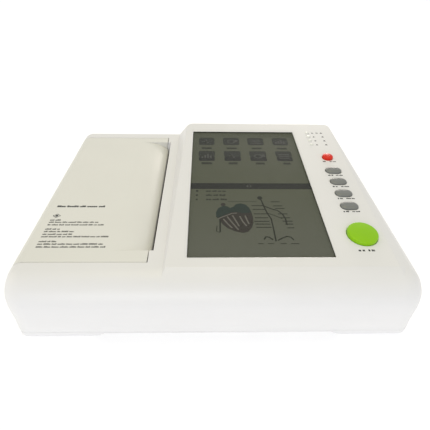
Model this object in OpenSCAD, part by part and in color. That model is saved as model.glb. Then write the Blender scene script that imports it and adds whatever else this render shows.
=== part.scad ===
// Desktop electrocardiograph with a sloping display panel and a clamshell thermal printer.
// Origin: middle of the footprint, on the surface it stands on. +X right, +Y to the back, +Z up.

/* [Case] */
// Overall width
body_w = 384; // [383:0.5:385]
// Overall depth
body_d = 295; // [294.5:0.5:296]
// Height of the flat printer side
top_z = 86; // [85.8:0.1:86.4]
// Wall thickness of both housings
wall = 2.6; // [2.4:0.1:2.8]
// Height of the line where the two housings meet
parting_z = 16; // [15.8:0.1:16.4]
// Height of the raised underside between the two skids
tunnel_z = 12; // [11.5:0.1:12.2]

/* [Display panel] */
// Height of the panel's front edge
panel_z = 88.3; // [88:0.1:88.6]
// Slope of the panel, in degrees
panel_tilt = 3.72; // [3.6:0.01:3.8]
// Width of the display window
window_w = 135.4; // [134:0.1:136]
// Length of the display window
window_l = 226.8; // [225:0.1:228]

/* [Printer] */
// Radius of the roll along the door's hinged edge
door_roll_r = 13.5; // [13.4:0.1:13.6]
// Radius of a full paper roll
paper_r = 25; // [15:0.5:25.5]
// Width of the chart paper
paper_w = 210; // [200:1:211]
// Radius of the rubber platen
platen_r = 7; // [6.9:0.05:7.05]
// Tooth module of the paper feed gears
gear_m = 0.9; // [0.88:0.01:0.9]

/* [Hidden] */
$fn = 48;
e = 0.01;
gap = 0.3;
half_w = body_w / 2;
half_d = body_d / 2;
front_y = -half_d;
back_y = half_d;

// Case section, seen from the front: a hinge-side roll on the left, a fuller roll on the right
roll_l_c = [-171.5, top_z - door_roll_r];
roll_r_c = [165, 64.5];
roll_r_r = top_z - roll_r_c[1];
// Case section, seen from the side
nose_r = 26;
nose_c = [front_y + nose_r, top_z - nose_r];
heel_r = 10;
heel_c = [back_y - heel_r, top_z - heel_r];
foot_r = 5;
tuck_r = 200;
nose_tuck_r = 140;
heel_tuck_r = 250;
plan_front_r = 26;
plan_back_r = 16;
corner_r = 24;
corner_reach = (half_w + half_d) / sqrt(2) - plan_front_r * (sqrt(2) - 1) + 0.35;
corner_c = [corner_reach - corner_r, top_z + 0.5 - corner_r];

// Printer bay, door and paper path
bay_y0 = -116.3;
bay_y1 = 127.8;
trough_y0 = -101;
trough_y1 = 114;
door_y0 = bay_y0 + gap;
door_y1 = bay_y1 - gap;
door_x1 = -61;
door_wall = 2.6;
side_top_z = 70;
trough_x0 = -97;
trough_drop = 16;
slot_x = -58;
crease_x = -47.5;
pin_r = 2;
pin_len = 16;
platen_c = [-70, 61.5];
platen_y0 = -100;
platen_y1 = 113;
shaft_r = 3;
feed_y0 = 118.5;
feed_y1 = 123.5;
teeth_platen = 14;
teeth_idler = 26;
teeth_pinion = 12;
idler_dir = -80;
pinion_dir = -35;
idler_d = gear_m * (teeth_platen + teeth_idler) / 2;
pinion_d = gear_m * (teeth_idler + teeth_pinion) / 2;
idler_c = platen_c + idler_d * [cos(idler_dir), sin(idler_dir)];
pinion_c = idler_c + pinion_d * [cos(pinion_dir), sin(pinion_dir)];
platen_phase = idler_dir;
idler_phase = mesh_phase(idler_dir, platen_phase, teeth_platen, teeth_idler);
pinion_phase = mesh_phase(pinion_dir, idler_phase, teeth_idler, teeth_pinion);
stud_r = 2;
motor_r = 16;
motor_y0 = 92;
plate_y0 = 114.8;
plate_t = 1.4;
front_plate_y0 = -103.4;
head_x = -62.2;
head_pivot = [-53.5, 54];
head_z0 = 52;
head_z1 = 66;
roll_c = [-125, 46];
roll_y0 = 6.5 - paper_w / 2;
roll_y1 = 6.5 + paper_w / 2;
core_r = 9;
journal_r = 4;
tray_r = 26.6;

// Display panel, in its own frame: y runs up the slope from the front edge, z along its normal
panel_y = -125;
panel_l = 260.5;
panel_x0 = -46;
panel_x1 = 163;
panel_back_x0 = -36;
window_x = 41;
window_y = 126.3;
lens_t = 1.5;
lens_z = -1.6;
key_x = 140.9;
power_y = 174.6;
key_ys = [146.4, 125, 103.6, 82.3];
start_y = 40.2;
led_x = 128.7;
led_ys = [235, 225, 215, 205];
key_w = 18.4;
key_d = 11.6;
power_r = 6.3;
start_r = 14.6;
key_lip = 1.1;
key_board_z = -10.6;
bracket_z = lens_z - lens_t - 7;
bracket_t = 1.6;
lcd_posts = [for (sx = [-1, 1], sy = [-1, 1])
    [window_x + sx * (window_w / 2 - 5), window_y + sy * (window_l / 2 + 7)]];
keypad_posts = [[127, 24], [152, 240]];
board_t = 1.6;

// Boards and ports
main_x = [-20, 145];
main_y = [-110, 55];
main_z = 44;
main_posts = [[-14, -104], [139, -104], [-14, 49], [139, 49]];
psu_x = [50, 160];
psu_y = [72, 127];
psu_z = 24;
psu_posts = [[55, 77], [155, 77], [55, 122], [155, 122]];
battery_x = [35, 115];
battery_y = [-70, 0];
battery_z = 36;
cover_x = [31, 119];
cover_y = [-74, 4];
cover_screws = [[75, -78], [75, 8]];
case_posts = [[-165, -127], [-165, 134.8], [40, -132], [-30, 134], [170, -110], [172, 100]];
feet = [[-155, -115], [-155, 120], [155, -115], [155, 120]];
post_r = 4.2;
post_z = 30;
speaker_x = 160;
port_y = 0;
port_z = 50;
port_x = 184.5;
port_pitch = 33.3;
rear_y = 142;
rear_z = 42;
lan_x = 19;
usb_x = 39;
post_x = 62;
fuse_x = 84;
switch_x = 105;
inlet_x = 138;
cup_r = 9;
post_tail_r = 2.5;
panel_t = 1.6;

// ---------- shared geometry ----------

function arc(c, r, a0, a1, n) = [for (i = [0:n])
    let (a = a0 + (a1 - a0) * i / n) c + r * [cos(a), sin(a)]];

// Tooth phase of gear b that puts it in mesh with gear a, which lies towards it at angle dir
function mesh_phase(dir, phase_a, na, nb) = dir + 180 + 180 / nb - (phase_a - dir) * na / nb;

// Inside a skid the floor is low, and over the tunnel it is high
function in_skid(p) = p[0] < -120 || p[0] > 127;
function base_z(p) = in_skid(p) ? 1.5 : tunnel_z + 1;
function screw_seat_z(p) = in_skid(p) ? 8 : tunnel_z + 5;

// A flat profile in X and Z, from y0 to y1
module along_y(y0, y1) {
    translate([0, y1, 0]) rotate([90, 0, 0]) linear_extrude(height = y1 - y0) children();
}

// A flat profile in Y and Z, from x0 to x1
module along_x(x0, x1) {
    translate([x0, 0, 0]) rotate([90, 0, 90]) linear_extrude(height = x1 - x0) children();
}

module box(x, y, z) {
    translate([x[0], y[0], z[0]]) cube([x[1] - x[0], y[1] - y[0], z[1] - z[0]]);
}

// A round bar along Y, centred on c in X and Z
module bar_y(c, r, y0, y1) {
    translate([c[0], y1, c[1]]) rotate([90, 0, 0]) cylinder(r = r, h = y1 - y0);
}

module post(p, r, z0, z1) {
    translate([p[0], p[1], z0]) cylinder(r = r, h = z1 - z0);
}

// Places children in the panel's own frame
module on_panel() {
    translate([0, panel_y, panel_z]) rotate([panel_tilt, 0, 0]) children();
}

// One side of the case section, clockwise: roll, bulging flank, tuck under and bottom corner
function flank(c, r, inset) =
    let (
        big_r = r + (half_w - abs(c[0]) - r) / (1 - cos(30)),
        big_c = [abs(c[0]) - (big_r - r) * cos(30), c[1] - (big_r - r) * sin(30)],
        tuck_c = [half_w - tuck_r, big_c[1]],
        tuck = asin((big_c[1] - foot_r) / (tuck_r - foot_r)),
        foot_c = tuck_c + (tuck_r - foot_r) * [cos(tuck), -sin(tuck)]
    )
    concat(
        arc([abs(c[0]), c[1]], r - inset, 90, 30, 8),
        arc(big_c, big_r - inset, 30, 0, 4),
        arc(tuck_c, tuck_r - inset, 0, -tuck, 2),
        arc(foot_c, foot_r - inset, -tuck, -90, 3)
    );

function mirrored(points) = [for (i = [len(points) - 1:-1:0]) [-points[i][0], points[i][1]]];

function end_profile(c, r, tr, inset) =
    let (
        tuck_c = [abs(c[0]) + r - tr, c[1]],
        tuck = asin((c[1] - foot_r) / (tr - foot_r)),
        foot_c = tuck_c + (tr - foot_r) * [cos(tuck), -sin(tuck)]
    )
    concat(
        arc([abs(c[0]), c[1]], r - inset, 90, 0, 8),
        arc(tuck_c, tr - inset, 0, -tuck, 3),
        arc(foot_c, foot_r - inset, -tuck, -90, 3)
    );

// Takes in the front corners towards the top, along both diagonals
module corner_rounding(inset) {
    profile = concat(
        [[-300, -1], [-300, corner_c[1] + corner_r - inset]],
        arc(corner_c, corner_r - inset, 90, 0, 6),
        [[corner_reach - inset, -1]]
    );
    intersection() {
        rotate([0, 0, -45]) along_y(-300, 300) polygon(profile);
        rotate([0, 0, -135]) along_y(-300, 300) polygon(profile);
    }
}

// The closed outside of the case without the raised panel, made smaller by inset
module envelope(inset) {
    front_c = [half_w - plan_front_r, half_d - plan_front_r];
    back_c = [half_w - plan_back_r, half_d - plan_back_r];
    intersection() {
        along_y(front_y, back_y)
            polygon(concat(flank(roll_r_c, roll_r_r, inset), mirrored(flank(roll_l_c, door_roll_r, inset))));
        along_x(-half_w, half_w)
            polygon(concat(
                end_profile(heel_c, heel_r, heel_tuck_r, inset),
                mirrored(end_profile(nose_c, nose_r, nose_tuck_r, inset))
            ));
        linear_extrude(height = top_z + 1)
            polygon(concat(
                arc(back_c, plan_back_r - inset, 90, 0, 8),
                arc([front_c[0], -front_c[1]], plan_front_r - inset, 0, -90, 8),
                arc([-front_c[0], -front_c[1]], plan_front_r - inset, -90, -180, 8),
                arc([-back_c[0], back_c[1]], plan_back_r - inset, 180, 90, 8)
            ));
        corner_rounding(inset);
    }
}

// The raised block that carries the panel, made smaller by inset
module raised_block(inset) {
    corner = 9;
    hull() {
        bar_y(roll_r_c, roll_r_r - inset, nose_c[0], heel_c[0] - 3);
        translate([crease_x + inset, nose_c[0], nose_c[1]])
            rotate([0, 90, 0]) cylinder(r = nose_r - inset, h = roll_r_c[0] - crease_x - inset);
        translate([crease_x + inset, heel_c[0], heel_c[1]])
            rotate([0, 90, 0]) cylinder(r = heel_r - inset, h = roll_r_c[0] - crease_x - inset - 4);
        on_panel() translate([0, 0, -1 - inset])
            linear_extrude(height = 1)
                polygon(concat(
                    [[panel_x0 + inset, 0], [panel_x1 - inset, 0]],
                    arc([panel_x1 - corner, panel_l - corner], corner - inset, 0, 90, 5),
                    arc([panel_back_x0 + corner, panel_l - corner], corner - inset, 90, 180, 5)
                ));
    }
}

// Outline of the tunnel under the case, made wider and taller by t
function tunnel(t) = [
    [-120 - 1.3 * t, -1], [-107 - 0.45 * t, tunnel_z + t],
    [112 + 0.45 * t, tunnel_z + t], [127 + 1.3 * t, -1]
];

module stadium(w, d) {
    r = d / 2;
    square([w - d, d], center = true);
    for (s = [-1, 1]) translate([s * (w - d) / 2, 0]) circle(r = r);
}

// A spur gear along Y with straight-flanked teeth, and a bore
module spur_gear(c, teeth, phase, bore, y0, y1) {
    pitch_r = gear_m * teeth / 2;
    tip = pitch_r + 0.9 * gear_m;
    root = pitch_r - 1.2 * gear_m;
    half = 360 / teeth / 4;
    along_y(y0, y1) translate(c) difference() {
        polygon([for (i = [0:teeth - 1]) for (k = [[root, -1.5], [tip, -0.45], [tip, 0.45], [root, 1.5]])
            let (a = phase + 360 * i / teeth + k[1] * half) k[0] * [cos(a), sin(a)]]);
        circle(r = bore);
    }
}

// A pan head screw pointing down from p
module screw_down(p, z, shank_r, len) {
    post(p, shank_r, z - len, z);
    post(p, shank_r * 1.9, z, z + shank_r * 1.3);
}

// ---------- housings ----------

module lower_housing() {
    color("whitesmoke") difference() {
        union() {
            difference() {
                intersection() {
                    envelope(0);
                    box([-half_w, half_w], [front_y, back_y], [0.8, parting_z]);
                }
                difference() {
                    envelope(wall);
                    along_y(front_y, back_y) polygon(tunnel(wall));
                }
            }
            difference() {
                intersection() {
                    envelope(wall + 0.2);
                    box([-half_w, half_w], [front_y, back_y], [parting_z - 2, parting_z + 3]);
                }
                envelope(wall + 1.8);
            }
            intersection() {
                for (p = case_posts) post(p, post_r, 1.5, post_z - gap);
                envelope(1);
            }
            for (p = cover_screws) post(p, 3.6, tunnel_z + 1, 20);
            for (p = main_posts) post(p, 3.5, base_z(p), main_z);
            for (p = psu_posts) post(p, 3.5, base_z(p), psu_z);
            box(cover_x - [1.8, -1.8], cover_y - [1.8, -1.8], [tunnel_z + 1, battery_z + 1]);
        }
        along_y(front_y - 1, back_y + 1) polygon(tunnel(0));
        box(cover_x, cover_y, [0, battery_z + 2]);
        box(cover_x + [-0.8, 0.8], cover_y + [-0.8, 0.8], [0, tunnel_z + 1.3]);
        for (p = cover_screws) post(p, 1.25, 0, 20);
        for (p = case_posts) {
            post(p, 1.7, 0, 40);
            post(p, 3.4, 0, screw_seat_z(p));
        }
        for (p = main_posts) post(p, 1.25, 30, main_z + 1);
        for (p = psu_posts) post(p, 1.25, 16, psu_z + 1);
        for (p = feet) post(p, 7.5, 0, 2);
        for (i = [-1:1], j = [-1:1]) post([speaker_x + 6 * i, 6 * j], 1.6, 0, 5);
    }
}

module bay_walls() {
    intersection() {
        union() {
            box([-187, crease_x + 2], [bay_y0 - 2.4, bay_y0], [parting_z + 3.3, top_z]);
            box([-187, crease_x + 2], [bay_y1, bay_y1 + 2.4], [parting_z + 3.3, top_z]);
            bar_y(roll_l_c, 6, bay_y0 - 10, bay_y0);
            bar_y(roll_l_c, 6, bay_y1, bay_y1 + 10);
            for (p = case_posts) post(p, post_r, post_z, 110);
        }
        union() {
            envelope(1.2);
            raised_block(1.2);
        }
    }
}

module strip_wall() {
    along_y(trough_y0 - 2, trough_y1 + 2)
        polygon([
            [slot_x, 67], [slot_x, top_z], [crease_x + 2, top_z], [crease_x + 2, top_z - wall],
            [slot_x + wall, top_z - wall], [slot_x + wall, 67]
        ]);
}

module key_holes() {
    on_panel() translate([0, 0, -8]) {
        translate([key_x, power_y, 0]) cylinder(r = power_r + gap, h = 12);
        translate([key_x, start_y, 0]) cylinder(r = start_r + gap, h = 12);
        for (y = key_ys) translate([key_x, y, 0]) linear_extrude(height = 12)
            stadium(key_w + 2 * gap, key_d + 2 * gap);
        for (y = led_ys) translate([led_x, y, 0]) cylinder(r = 1.6, h = 12);
    }
}

module window_cut() {
    on_panel() translate([window_x, window_y, 0]) {
        translate([-window_w / 2, -window_l / 2, -8]) cube([window_w, window_l, 12]);
        translate([0, 0, lens_z]) linear_extrude(height = 2.2, scale = [1.053, 1.032])
            square([window_w, window_l], center = true);
        translate([-window_w / 2 - 3, -window_l / 2 - 3, -8]) cube([window_w + 6, window_l + 6, 8 + lens_z]);
    }
}

// Recess for the patient port, and the way through the lip that backs its panel
module port_opening() {
    box([port_x - panel_t - gap, half_w + 1], [port_y - 30, port_y + 30], [36, 64]);
    box([port_x - 6, half_w], [port_y - 28, port_y + 28], [38, 62]);
}

// Recess for the rear connectors, and the way through the lip that backs their panel
module rear_opening() {
    box([8, 164], [rear_y - panel_t - 0.05, back_y + 1], [24, 60]);
    box([10, 162], [rear_y - 6, back_y], [26, 58]);
}

module upper_housing() {
    color("whitesmoke") difference() {
        union() {
            difference() {
                union() {
                    intersection() {
                        envelope(0);
                        box([-half_w, half_w], [front_y, back_y], [parting_z + gap, top_z + 1]);
                    }
                    intersection() {
                        raised_block(0);
                        box([crease_x, half_w], [front_y, back_y], [top_z - 20, 120]);
                    }
                }
                envelope(wall);
                raised_block(wall);
                along_y(bay_y0, bay_y1) translate([-200, side_top_z]) square([door_x1 - 0.7 + 200, 20]);
                along_y(trough_y0, trough_y1)
                    polygon([
                        [-63, 60], [slot_x, 60], [slot_x, top_z + 1], [-63, top_z + 1]
                    ]);
            }
            bay_walls();
            strip_wall();
            intersection() {
                union() {
                    box([6, 166], [rear_y - wall, back_y], [22, 62]);
                    box([port_x - panel_t - gap - 1, half_w], [port_y - 32, port_y + 32], [34, 66]);
                }
                envelope(1);
            }
            on_panel() {
                for (p = lcd_posts) post(p, 3.4, bracket_z + bracket_t, bracket_z + bracket_t + 7);
                for (p = keypad_posts) post(p, 3.4, key_board_z + board_t, key_board_z + board_t + 7.4);
            }
        }
        bar_y(roll_l_c, door_roll_r + 0.4, bay_y0, bay_y1);
        bar_y(roll_l_c, pin_r, bay_y0 - pin_len, bay_y1 + pin_len);
        for (p = case_posts) {
            post(p, 1.25, 20, 60);
            post(p, post_r + gap, 0, post_z - e);
        }
        on_panel() for (p = concat(lcd_posts, keypad_posts)) post(p, 1.25, -10, -3);
        window_cut();
        key_holes();
        rear_opening();
        port_opening();
    }
}

// Connector plate behind the recess in the back wall, with a cup round the bonding post
module rear_panel() {
    color("gainsboro") difference() {
        union() {
            box([8 + gap, 164 - gap], [rear_y - panel_t, rear_y], [24 + gap, 60 - gap]);
            bar_y([post_x, rear_z], cup_r + 1.8, rear_y - 14, rear_y);
        }
        box([lan_x - 8.2, lan_x + 8.2], [rear_y - 5, rear_y + 1], [rear_z - 7, rear_z + 7]);
        box([usb_x - 7.5, usb_x + 7.5], [rear_y - 5, rear_y + 1], [rear_z - 8.2, rear_z + 8.2]);
        bar_y([post_x, rear_z], cup_r, rear_y - 13, rear_y + 1);
        bar_y([post_x, rear_z], post_tail_r, rear_y - 16, rear_y);
        for (s = [-1, 1]) bar_y([fuse_x, rear_z + s * 9], 6.1, rear_y - 5, rear_y + 1);
        box([switch_x - 6.7, switch_x + 6.7], [rear_y - 5, rear_y + 1], [rear_z - 10.1, rear_z + 10.1]);
        box([inlet_x - 13.9, inlet_x + 13.9], [rear_y - 5, rear_y + 1], [rear_z - 10.2, rear_z + 10.2]);
        for (s = [-1, 1]) bar_y([inlet_x + s * 20, rear_z], 1.6, rear_y - 5, rear_y + 1);
    }
}

// Plate that the patient port is fastened to
module port_panel() {
    color("gainsboro") difference() {
        box([port_x - panel_t, port_x], [port_y - 30 + gap, port_y + 30 - gap], [36 + gap, 64 - gap]);
        box([port_x - 5, port_x + 1], [port_y - 13.6, port_y + 13.6], [port_z - 6, port_z + 6]);
        for (s = [-1, 1]) translate([port_x - 5, port_y + s * port_pitch / 2, port_z])
            rotate([0, 90, 0]) cylinder(r = 1.6, h = 8);
    }
}

module rubber_feet() {
    color("dimgray") for (p = feet) {
        post(p, 7.2, 0.8, 2);
        post(p, 6.6, 0, 0.8);
    }
}

module case_screws() {
    color("silver") for (p = case_posts) {
        z = screw_seat_z(p);
        post(p, 3, z - 2, z);
        post(p, 1.25, z, 40);
    }
}

module battery_cover() {
    color("whitesmoke") difference() {
        union() {
            box(cover_x + [-0.5, 0.5], cover_y + [-0.5, 0.5], [tunnel_z, tunnel_z + 1.1]);
            box(cover_x + [0.3, -0.3], cover_y + [0.3, -0.3], [tunnel_z + 1.1, tunnel_z + 2.6]);
            for (p = cover_screws) post(p, 4.5, tunnel_z - 1.6, tunnel_z - 0.1);
            for (s = [0, 1]) {
                y = cover_y[s];
                box([70, 80], [y - 5 + 2 * s, y + 3 + 2 * s], [tunnel_z - 1.6, tunnel_z - 0.1]);
                box([70, 80], [y - 3 * s, y + 3 - 3 * s], [tunnel_z - 1.6, tunnel_z + 0.5]);
            }
        }
        for (p = cover_screws) post(p, 1.7, 0, 20);
    }
}

module battery_cover_screws() {
    color("silver") for (p = cover_screws) {
        post(p, 2.6, tunnel_z - 3.2, tunnel_z - 1.6);
        post(p, 1.25, tunnel_z - 1.6, 19);
    }
}

module battery_pack() {
    color("steelblue") difference() {
        box(battery_x, battery_y, [tunnel_z + 2.9, battery_z]);
        for (i = [1:3])
            let (x = battery_x[0] + 20 * i)
                box([x - 0.5, x + 0.5], battery_y + [-1, 1], [battery_z - 0.6, battery_z + 1]);
    }
}

// ---------- printer, fixed side ----------

module paper_tray() {
    color("gainsboro") difference() {
        union() {
            along_y(-104, 117) difference() {
                union() {
                    translate([-154.6, 17]) square([59.2, 30]);
                    translate([-180, 50]) square([26, 2.4]);
                    polygon([[-156, 46], [-152, 46], [-152, 52.4], [-156, 52.4]]);
                    polygon([[-97.4, 44], [-95.4, 44], [-74, 46.6], [-74, 49], [-97.4, 46.6]]);
                }
                translate(roll_c) circle(r = tray_r);
                translate([roll_c[0] - tray_r, roll_c[1]]) square([2 * tray_r, 60]);
            }
            for (y = [-104, 114.2]) box([-152, -98], [y, y + 2.8], [20, 56]);
            for (y = [-90, 100]) {
                post([-170, y], 4, 2.7, 51);
                post([-86, y], 4, tunnel_z + wall + 0.1, 46);
            }
        }
        bar_y(roll_c, journal_r + 0.3, -105, 118);
        box([roll_c[0] - journal_r - gap, roll_c[0] + journal_r + gap], [-105, 118], [roll_c[1], 60]);
    }
}

module chassis_plate(y0) {
    along_y(y0, y0 + plate_t) difference() {
        polygon([
            [-71, 38], [-71, 49], [-62, 51], [-58.5, 60],
            [-50, 62], [-28, 60], [-28, 15.2], [-64, 15.2]
        ]);
        children();
    }
}

module printer_chassis() {
    color("silver") {
        chassis_plate(front_plate_y0) translate(head_pivot) circle(r = 2.05);
        chassis_plate(plate_y0) {
            translate(head_pivot) circle(r = 2.05);
            translate(pinion_c) circle(r = 7.6);
        }
        box([-46.2, -45], [front_plate_y0 + plate_t / 2, plate_y0 + plate_t / 2], [50, 66]);
        box([-66, -28], [front_plate_y0 + plate_t / 2, 84], [15.2, 16.6]);
        bar_y(idler_c, stud_r, plate_y0 + plate_t / 2, feed_y1 + 1.5);
    }
}

module stepper_motor() {
    color("dimgray") {
        bar_y(pinion_c, motor_r, motor_y0, motor_y0 + 5);
        bar_y(pinion_c, motor_r - 0.6, motor_y0, plate_y0);
        bar_y(pinion_c, motor_r, motor_y0 + 5.6, plate_y0 - 0.1);
    }
}

module tear_bar() {
    color("silver") along_y(trough_y0 + 1, trough_y1 - 1)
        polygon([[slot_x - 0.7, 66.6], [slot_x - 0.1, 66.6], [slot_x - 0.1, 70], [slot_x - 0.7, 69.4]]);
}

module paper_sensor() {
    color("black") difference() {
        box([-92, -82], [0, 8], [48.3, 51.2]);
        for (x = [-89.5, -84.5]) post([x, 4], 1.3, 50.4, 52);
    }
}

module head_springs() {
    color("silver") for (y = [-60, 6.5, 73]) translate([-46.4, y, 62]) rotate([0, -90, 0]) difference() {
        cylinder(r = 2.6, h = 3.6);
        translate([0, 0, -1]) cylinder(r = 1.8, h = 6);
    }
}

module hinge_pins() {
    color("silver") {
        bar_y(roll_l_c, pin_r, bay_y0 - 7.5, bay_y0 + 8);
        bar_y(roll_l_c, pin_r, bay_y1 - 8, bay_y1 + 7.5);
    }
}

// ---------- boards and ports ----------

module main_board() {
    color("darkgreen") difference() {
        box(main_x, main_y, [main_z, main_z + board_t]);
        for (p = main_posts) post(p, 1.7, main_z - 1, main_z + 3);
    }
}

module chip(x, y, w, d, h) {
    z = main_z + board_t;
    box([x, x + w], [y, y + d], [z, z + h]);
}

module main_board_components() {
    color("black") {
        chip(20, -60, 30, 30, 2.4);
        chip(60, -62, 14, 20, 1.4);
        chip(60, -36, 14, 20, 1.4);
        chip(24, 0, 20, 14, 2);
        chip(-10, -90, 22, 6, 8);
        chip(20, -104, 40, 5, 5);
        chip(80, -100, 26, 12, 9);
        for (i = [0:3]) chip(-10, -60 + 14 * i, 9, 9, 2);
        for (i = [0:4]) post([60 + 9 * i, 20], 3.2, main_z + board_t, main_z + board_t + 11);
        for (i = [0:3]) post([60 + 9 * i, 34], 2.5, main_z + board_t, main_z + board_t + 8);
    }
}

module front_end_shield() {
    color("silver") difference() {
        chip(96, -56, 44, 60, 11);
        translate([0, 0, -0.6]) chip(97, -55, 42, 58, 11);
        for (i = [0:4], j = [0:6]) post([102 + 8 * i, -50 + 8 * j], 1.2, main_z + 10, main_z + 14);
    }
}

module input_board() {
    color("darkgreen") difference() {
        box([168, 169.6], [port_y - 30, port_y + 30], [37, 63]);
        for (s = [-1, 1]) translate([167, port_y + s * 26, port_z])
            rotate([0, 90, 0]) cylinder(r = 1.6, h = 4);
    }
}

module d_outline(w, h, r) {
    hw = w / 2;
    hh = h / 2;
    polygon(concat(
        arc([hw - r, hh - r], r, 90, 10, 4),
        arc([hw - r - (h - 2 * r) * 0.18, -hh + r], r, -10, -90, 4),
        arc([-hw + r + (h - 2 * r) * 0.18, -hh + r], r, -90, -170, 4),
        arc([-hw + r, hh - r], r, 170, 90, 4)
    ));
}

module patient_port() {
    color("silver") translate([port_x, port_y, port_z]) rotate([90, 0, 90]) difference() {
        union() {
            translate([0, 0, 0.02]) linear_extrude(height = 0.9) difference() {
                square([39.2, 12.4], center = true);
                for (s = [-1, 1]) translate([s * port_pitch / 2, 0]) circle(r = 1.6);
            }
            linear_extrude(height = 5.6) d_outline(25, 8.4, 2.2);
            translate([0, 0, -14.8]) linear_extrude(height = 15) d_outline(26.6, 11, 2.2);
        }
        for (i = [0:7]) translate([(i - 3.5) * 2.76, 1.42, 2]) cylinder(r = 0.6, h = 5);
        for (i = [0:6]) translate([(i - 3) * 2.76, -1.42, 2]) cylinder(r = 0.6, h = 5);
    }
}

module port_jackscrews() {
    color("silver") for (y = [port_y - port_pitch / 2, port_y + port_pitch / 2])
        translate([port_x, y, port_z]) rotate([0, 90, 0]) difference() {
            union() {
                translate([0, 0, 0.95]) cylinder(r = 2.7, h = 4.8, $fn = 6);
                translate([0, 0, -6]) cylinder(r = 1.42, h = 7);
            }
            translate([0, 0, 1.2]) cylinder(r = 1.42, h = 6);
        }
}

module psu_board() {
    color("darkgreen") difference() {
        box(psu_x, psu_y, [psu_z, psu_z + board_t]);
        for (p = psu_posts) post(p, 1.7, psu_z - 1, psu_z + 3);
    }
}

module psu_components() {
    z = psu_z + board_t;
    color("goldenrod") box([78, 106], [78, 102], [z, z + 21]);
    color("black") {
        post([66, 86], 6, z, z + 22);
        post([66, 104], 5, z, z + 18);
        box([112, 128], [80, 92], [z, z + 14]);
        box([136, 148], [82, 92], [z, z + 10]);
    }
    color("silver") difference() {
        box([78, 118], [108, 114], [z, z + 6]);
        for (i = [0:5]) box([82 + 6 * i, 85 + 6 * i], [107, 115], [z + 1.5, z + 7]);
    }
}

module mains_inlet() {
    color("black") difference() {
        union() {
            along_y(rear_y + 0.05, rear_y + 2.2) translate([inlet_x, rear_z]) difference() {
                stadium(50, 22);
                for (s = [-1, 1]) translate([s * 20, 0]) circle(r = 1.7);
            }
            box([inlet_x - 13.5, inlet_x + 13.5], [rear_y - 24, rear_y + 1], [rear_z - 9.8, rear_z + 9.8]);
        }
        along_y(rear_y - 17, rear_y + 4) translate([inlet_x, rear_z])
            polygon([[-12, -8.2], [12, -8.2], [12, 4], [7.5, 8.2], [-7.5, 8.2], [-12, 4]]);
    }
    color("silver") for (s = [-1, 1]) {
        bar_y([inlet_x + s * 20, rear_z], 1.5, rear_y - 5, rear_y + 2.2);
        bar_y([inlet_x + s * 20, rear_z], 2.8, rear_y + 2.2, rear_y + 3.9);
    }
}

module inlet_contacts() {
    color("gold") for (p = [[-7, -0.5], [7, -0.5], [0, 3.5]])
        let (x = inlet_x + p[0], z = rear_z + p[1])
            box([x - 1, x + 1], [rear_y - 17, rear_y - 4], [z - 2, z + 2]);
}

module mains_switch_body() {
    color("black") difference() {
        union() {
            box([switch_x - 6.4, switch_x + 6.4], [rear_y - 20, rear_y + 1], [rear_z - 9.8, rear_z + 9.8]);
            box([switch_x - 7.5, switch_x + 7.5], [rear_y + 0.05, rear_y + 1.9],
                [rear_z - 10.8, rear_z + 10.8]);
        }
        box([switch_x - 5.2, switch_x + 5.2], [rear_y - 8, rear_y + 3], [rear_z - 8.6, rear_z + 8.6]);
    }
}

module mains_rocker() {
    color("black") along_x(switch_x - 4.8, switch_x + 4.8) translate([rear_y - 2, rear_z])
        polygon([[-2, -6], [3.4, -7.4], [4.2, -7.4], [2.6, 0], [2.6, 7.4], [1.8, 7.4], [-2, 6]]);
}

module fuse_caps() {
    color("black") for (s = [-1, 1]) difference() {
        union() {
            bar_y([fuse_x, rear_z + s * 9], 5.9, rear_y - 26, rear_y + 0.5);
            bar_y([fuse_x, rear_z + s * 9], 7.4, rear_y + 0.05, rear_y + 3);
        }
        box([fuse_x - 4.5, fuse_x + 4.5], [rear_y + 2, rear_y + 4],
            [rear_z + s * 9 - 0.7, rear_z + s * 9 + 0.7]);
    }
}

module equipotential_post() {
    color("silver") {
        bar_y([post_x, rear_z], post_tail_r, rear_y - 18, rear_y - 11);
        bar_y([post_x, rear_z], 5.4, rear_y - 11, rear_y - 9.5);
        bar_y([post_x, rear_z], 2.8, rear_y - 9.5, rear_y - 9);
        bar_y([post_x, rear_z], 3, rear_y - 9, rear_y + 4.5);
    }
}

module usb_ports() {
    color("silver") difference() {
        box([usb_x - 7.1, usb_x + 7.1], [rear_y - 16, rear_y + 0.5], [rear_z - 7.8, rear_z + 7.8]);
        for (z = [rear_z - 4, rear_z + 4])
            box([usb_x - 6.25, usb_x + 6.25], [rear_y - 12, rear_y + 1], [z - 2.6, z + 2.6]);
    }
    color("black") for (z = [rear_z - 4, rear_z + 4])
        box([usb_x - 5.6, usb_x + 5.6], [rear_y - 12, rear_y - 0.5], [z + 0.2, z + 2]);
}

module lan_port() {
    color("silver") difference() {
        box([lan_x - 7.9, lan_x + 7.9], [rear_y - 18, rear_y + 0.5], [rear_z - 6.7, rear_z + 6.7]);
        box([lan_x - 5.9, lan_x + 5.9], [rear_y - 14, rear_y + 1], [rear_z - 4.5, rear_z + 3.8]);
        box([lan_x - 3, lan_x + 3], [rear_y - 14, rear_y + 1], [rear_z - 6, rear_z - 4]);
    }
}

// ---------- display and keys ----------

module display_lens() {
    color("darkslategray") on_panel() translate([window_x, window_y, lens_z - lens_t])
        linear_extrude(height = lens_t) square([window_w + 5.4, window_l + 5.4], center = true);
}

module lcd_module() {
    color("gray") on_panel() translate([window_x, window_y, lens_z - lens_t - 5.3])
        linear_extrude(height = 5.2) square([window_w + 12, window_l + 7], center = true);
}

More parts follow.
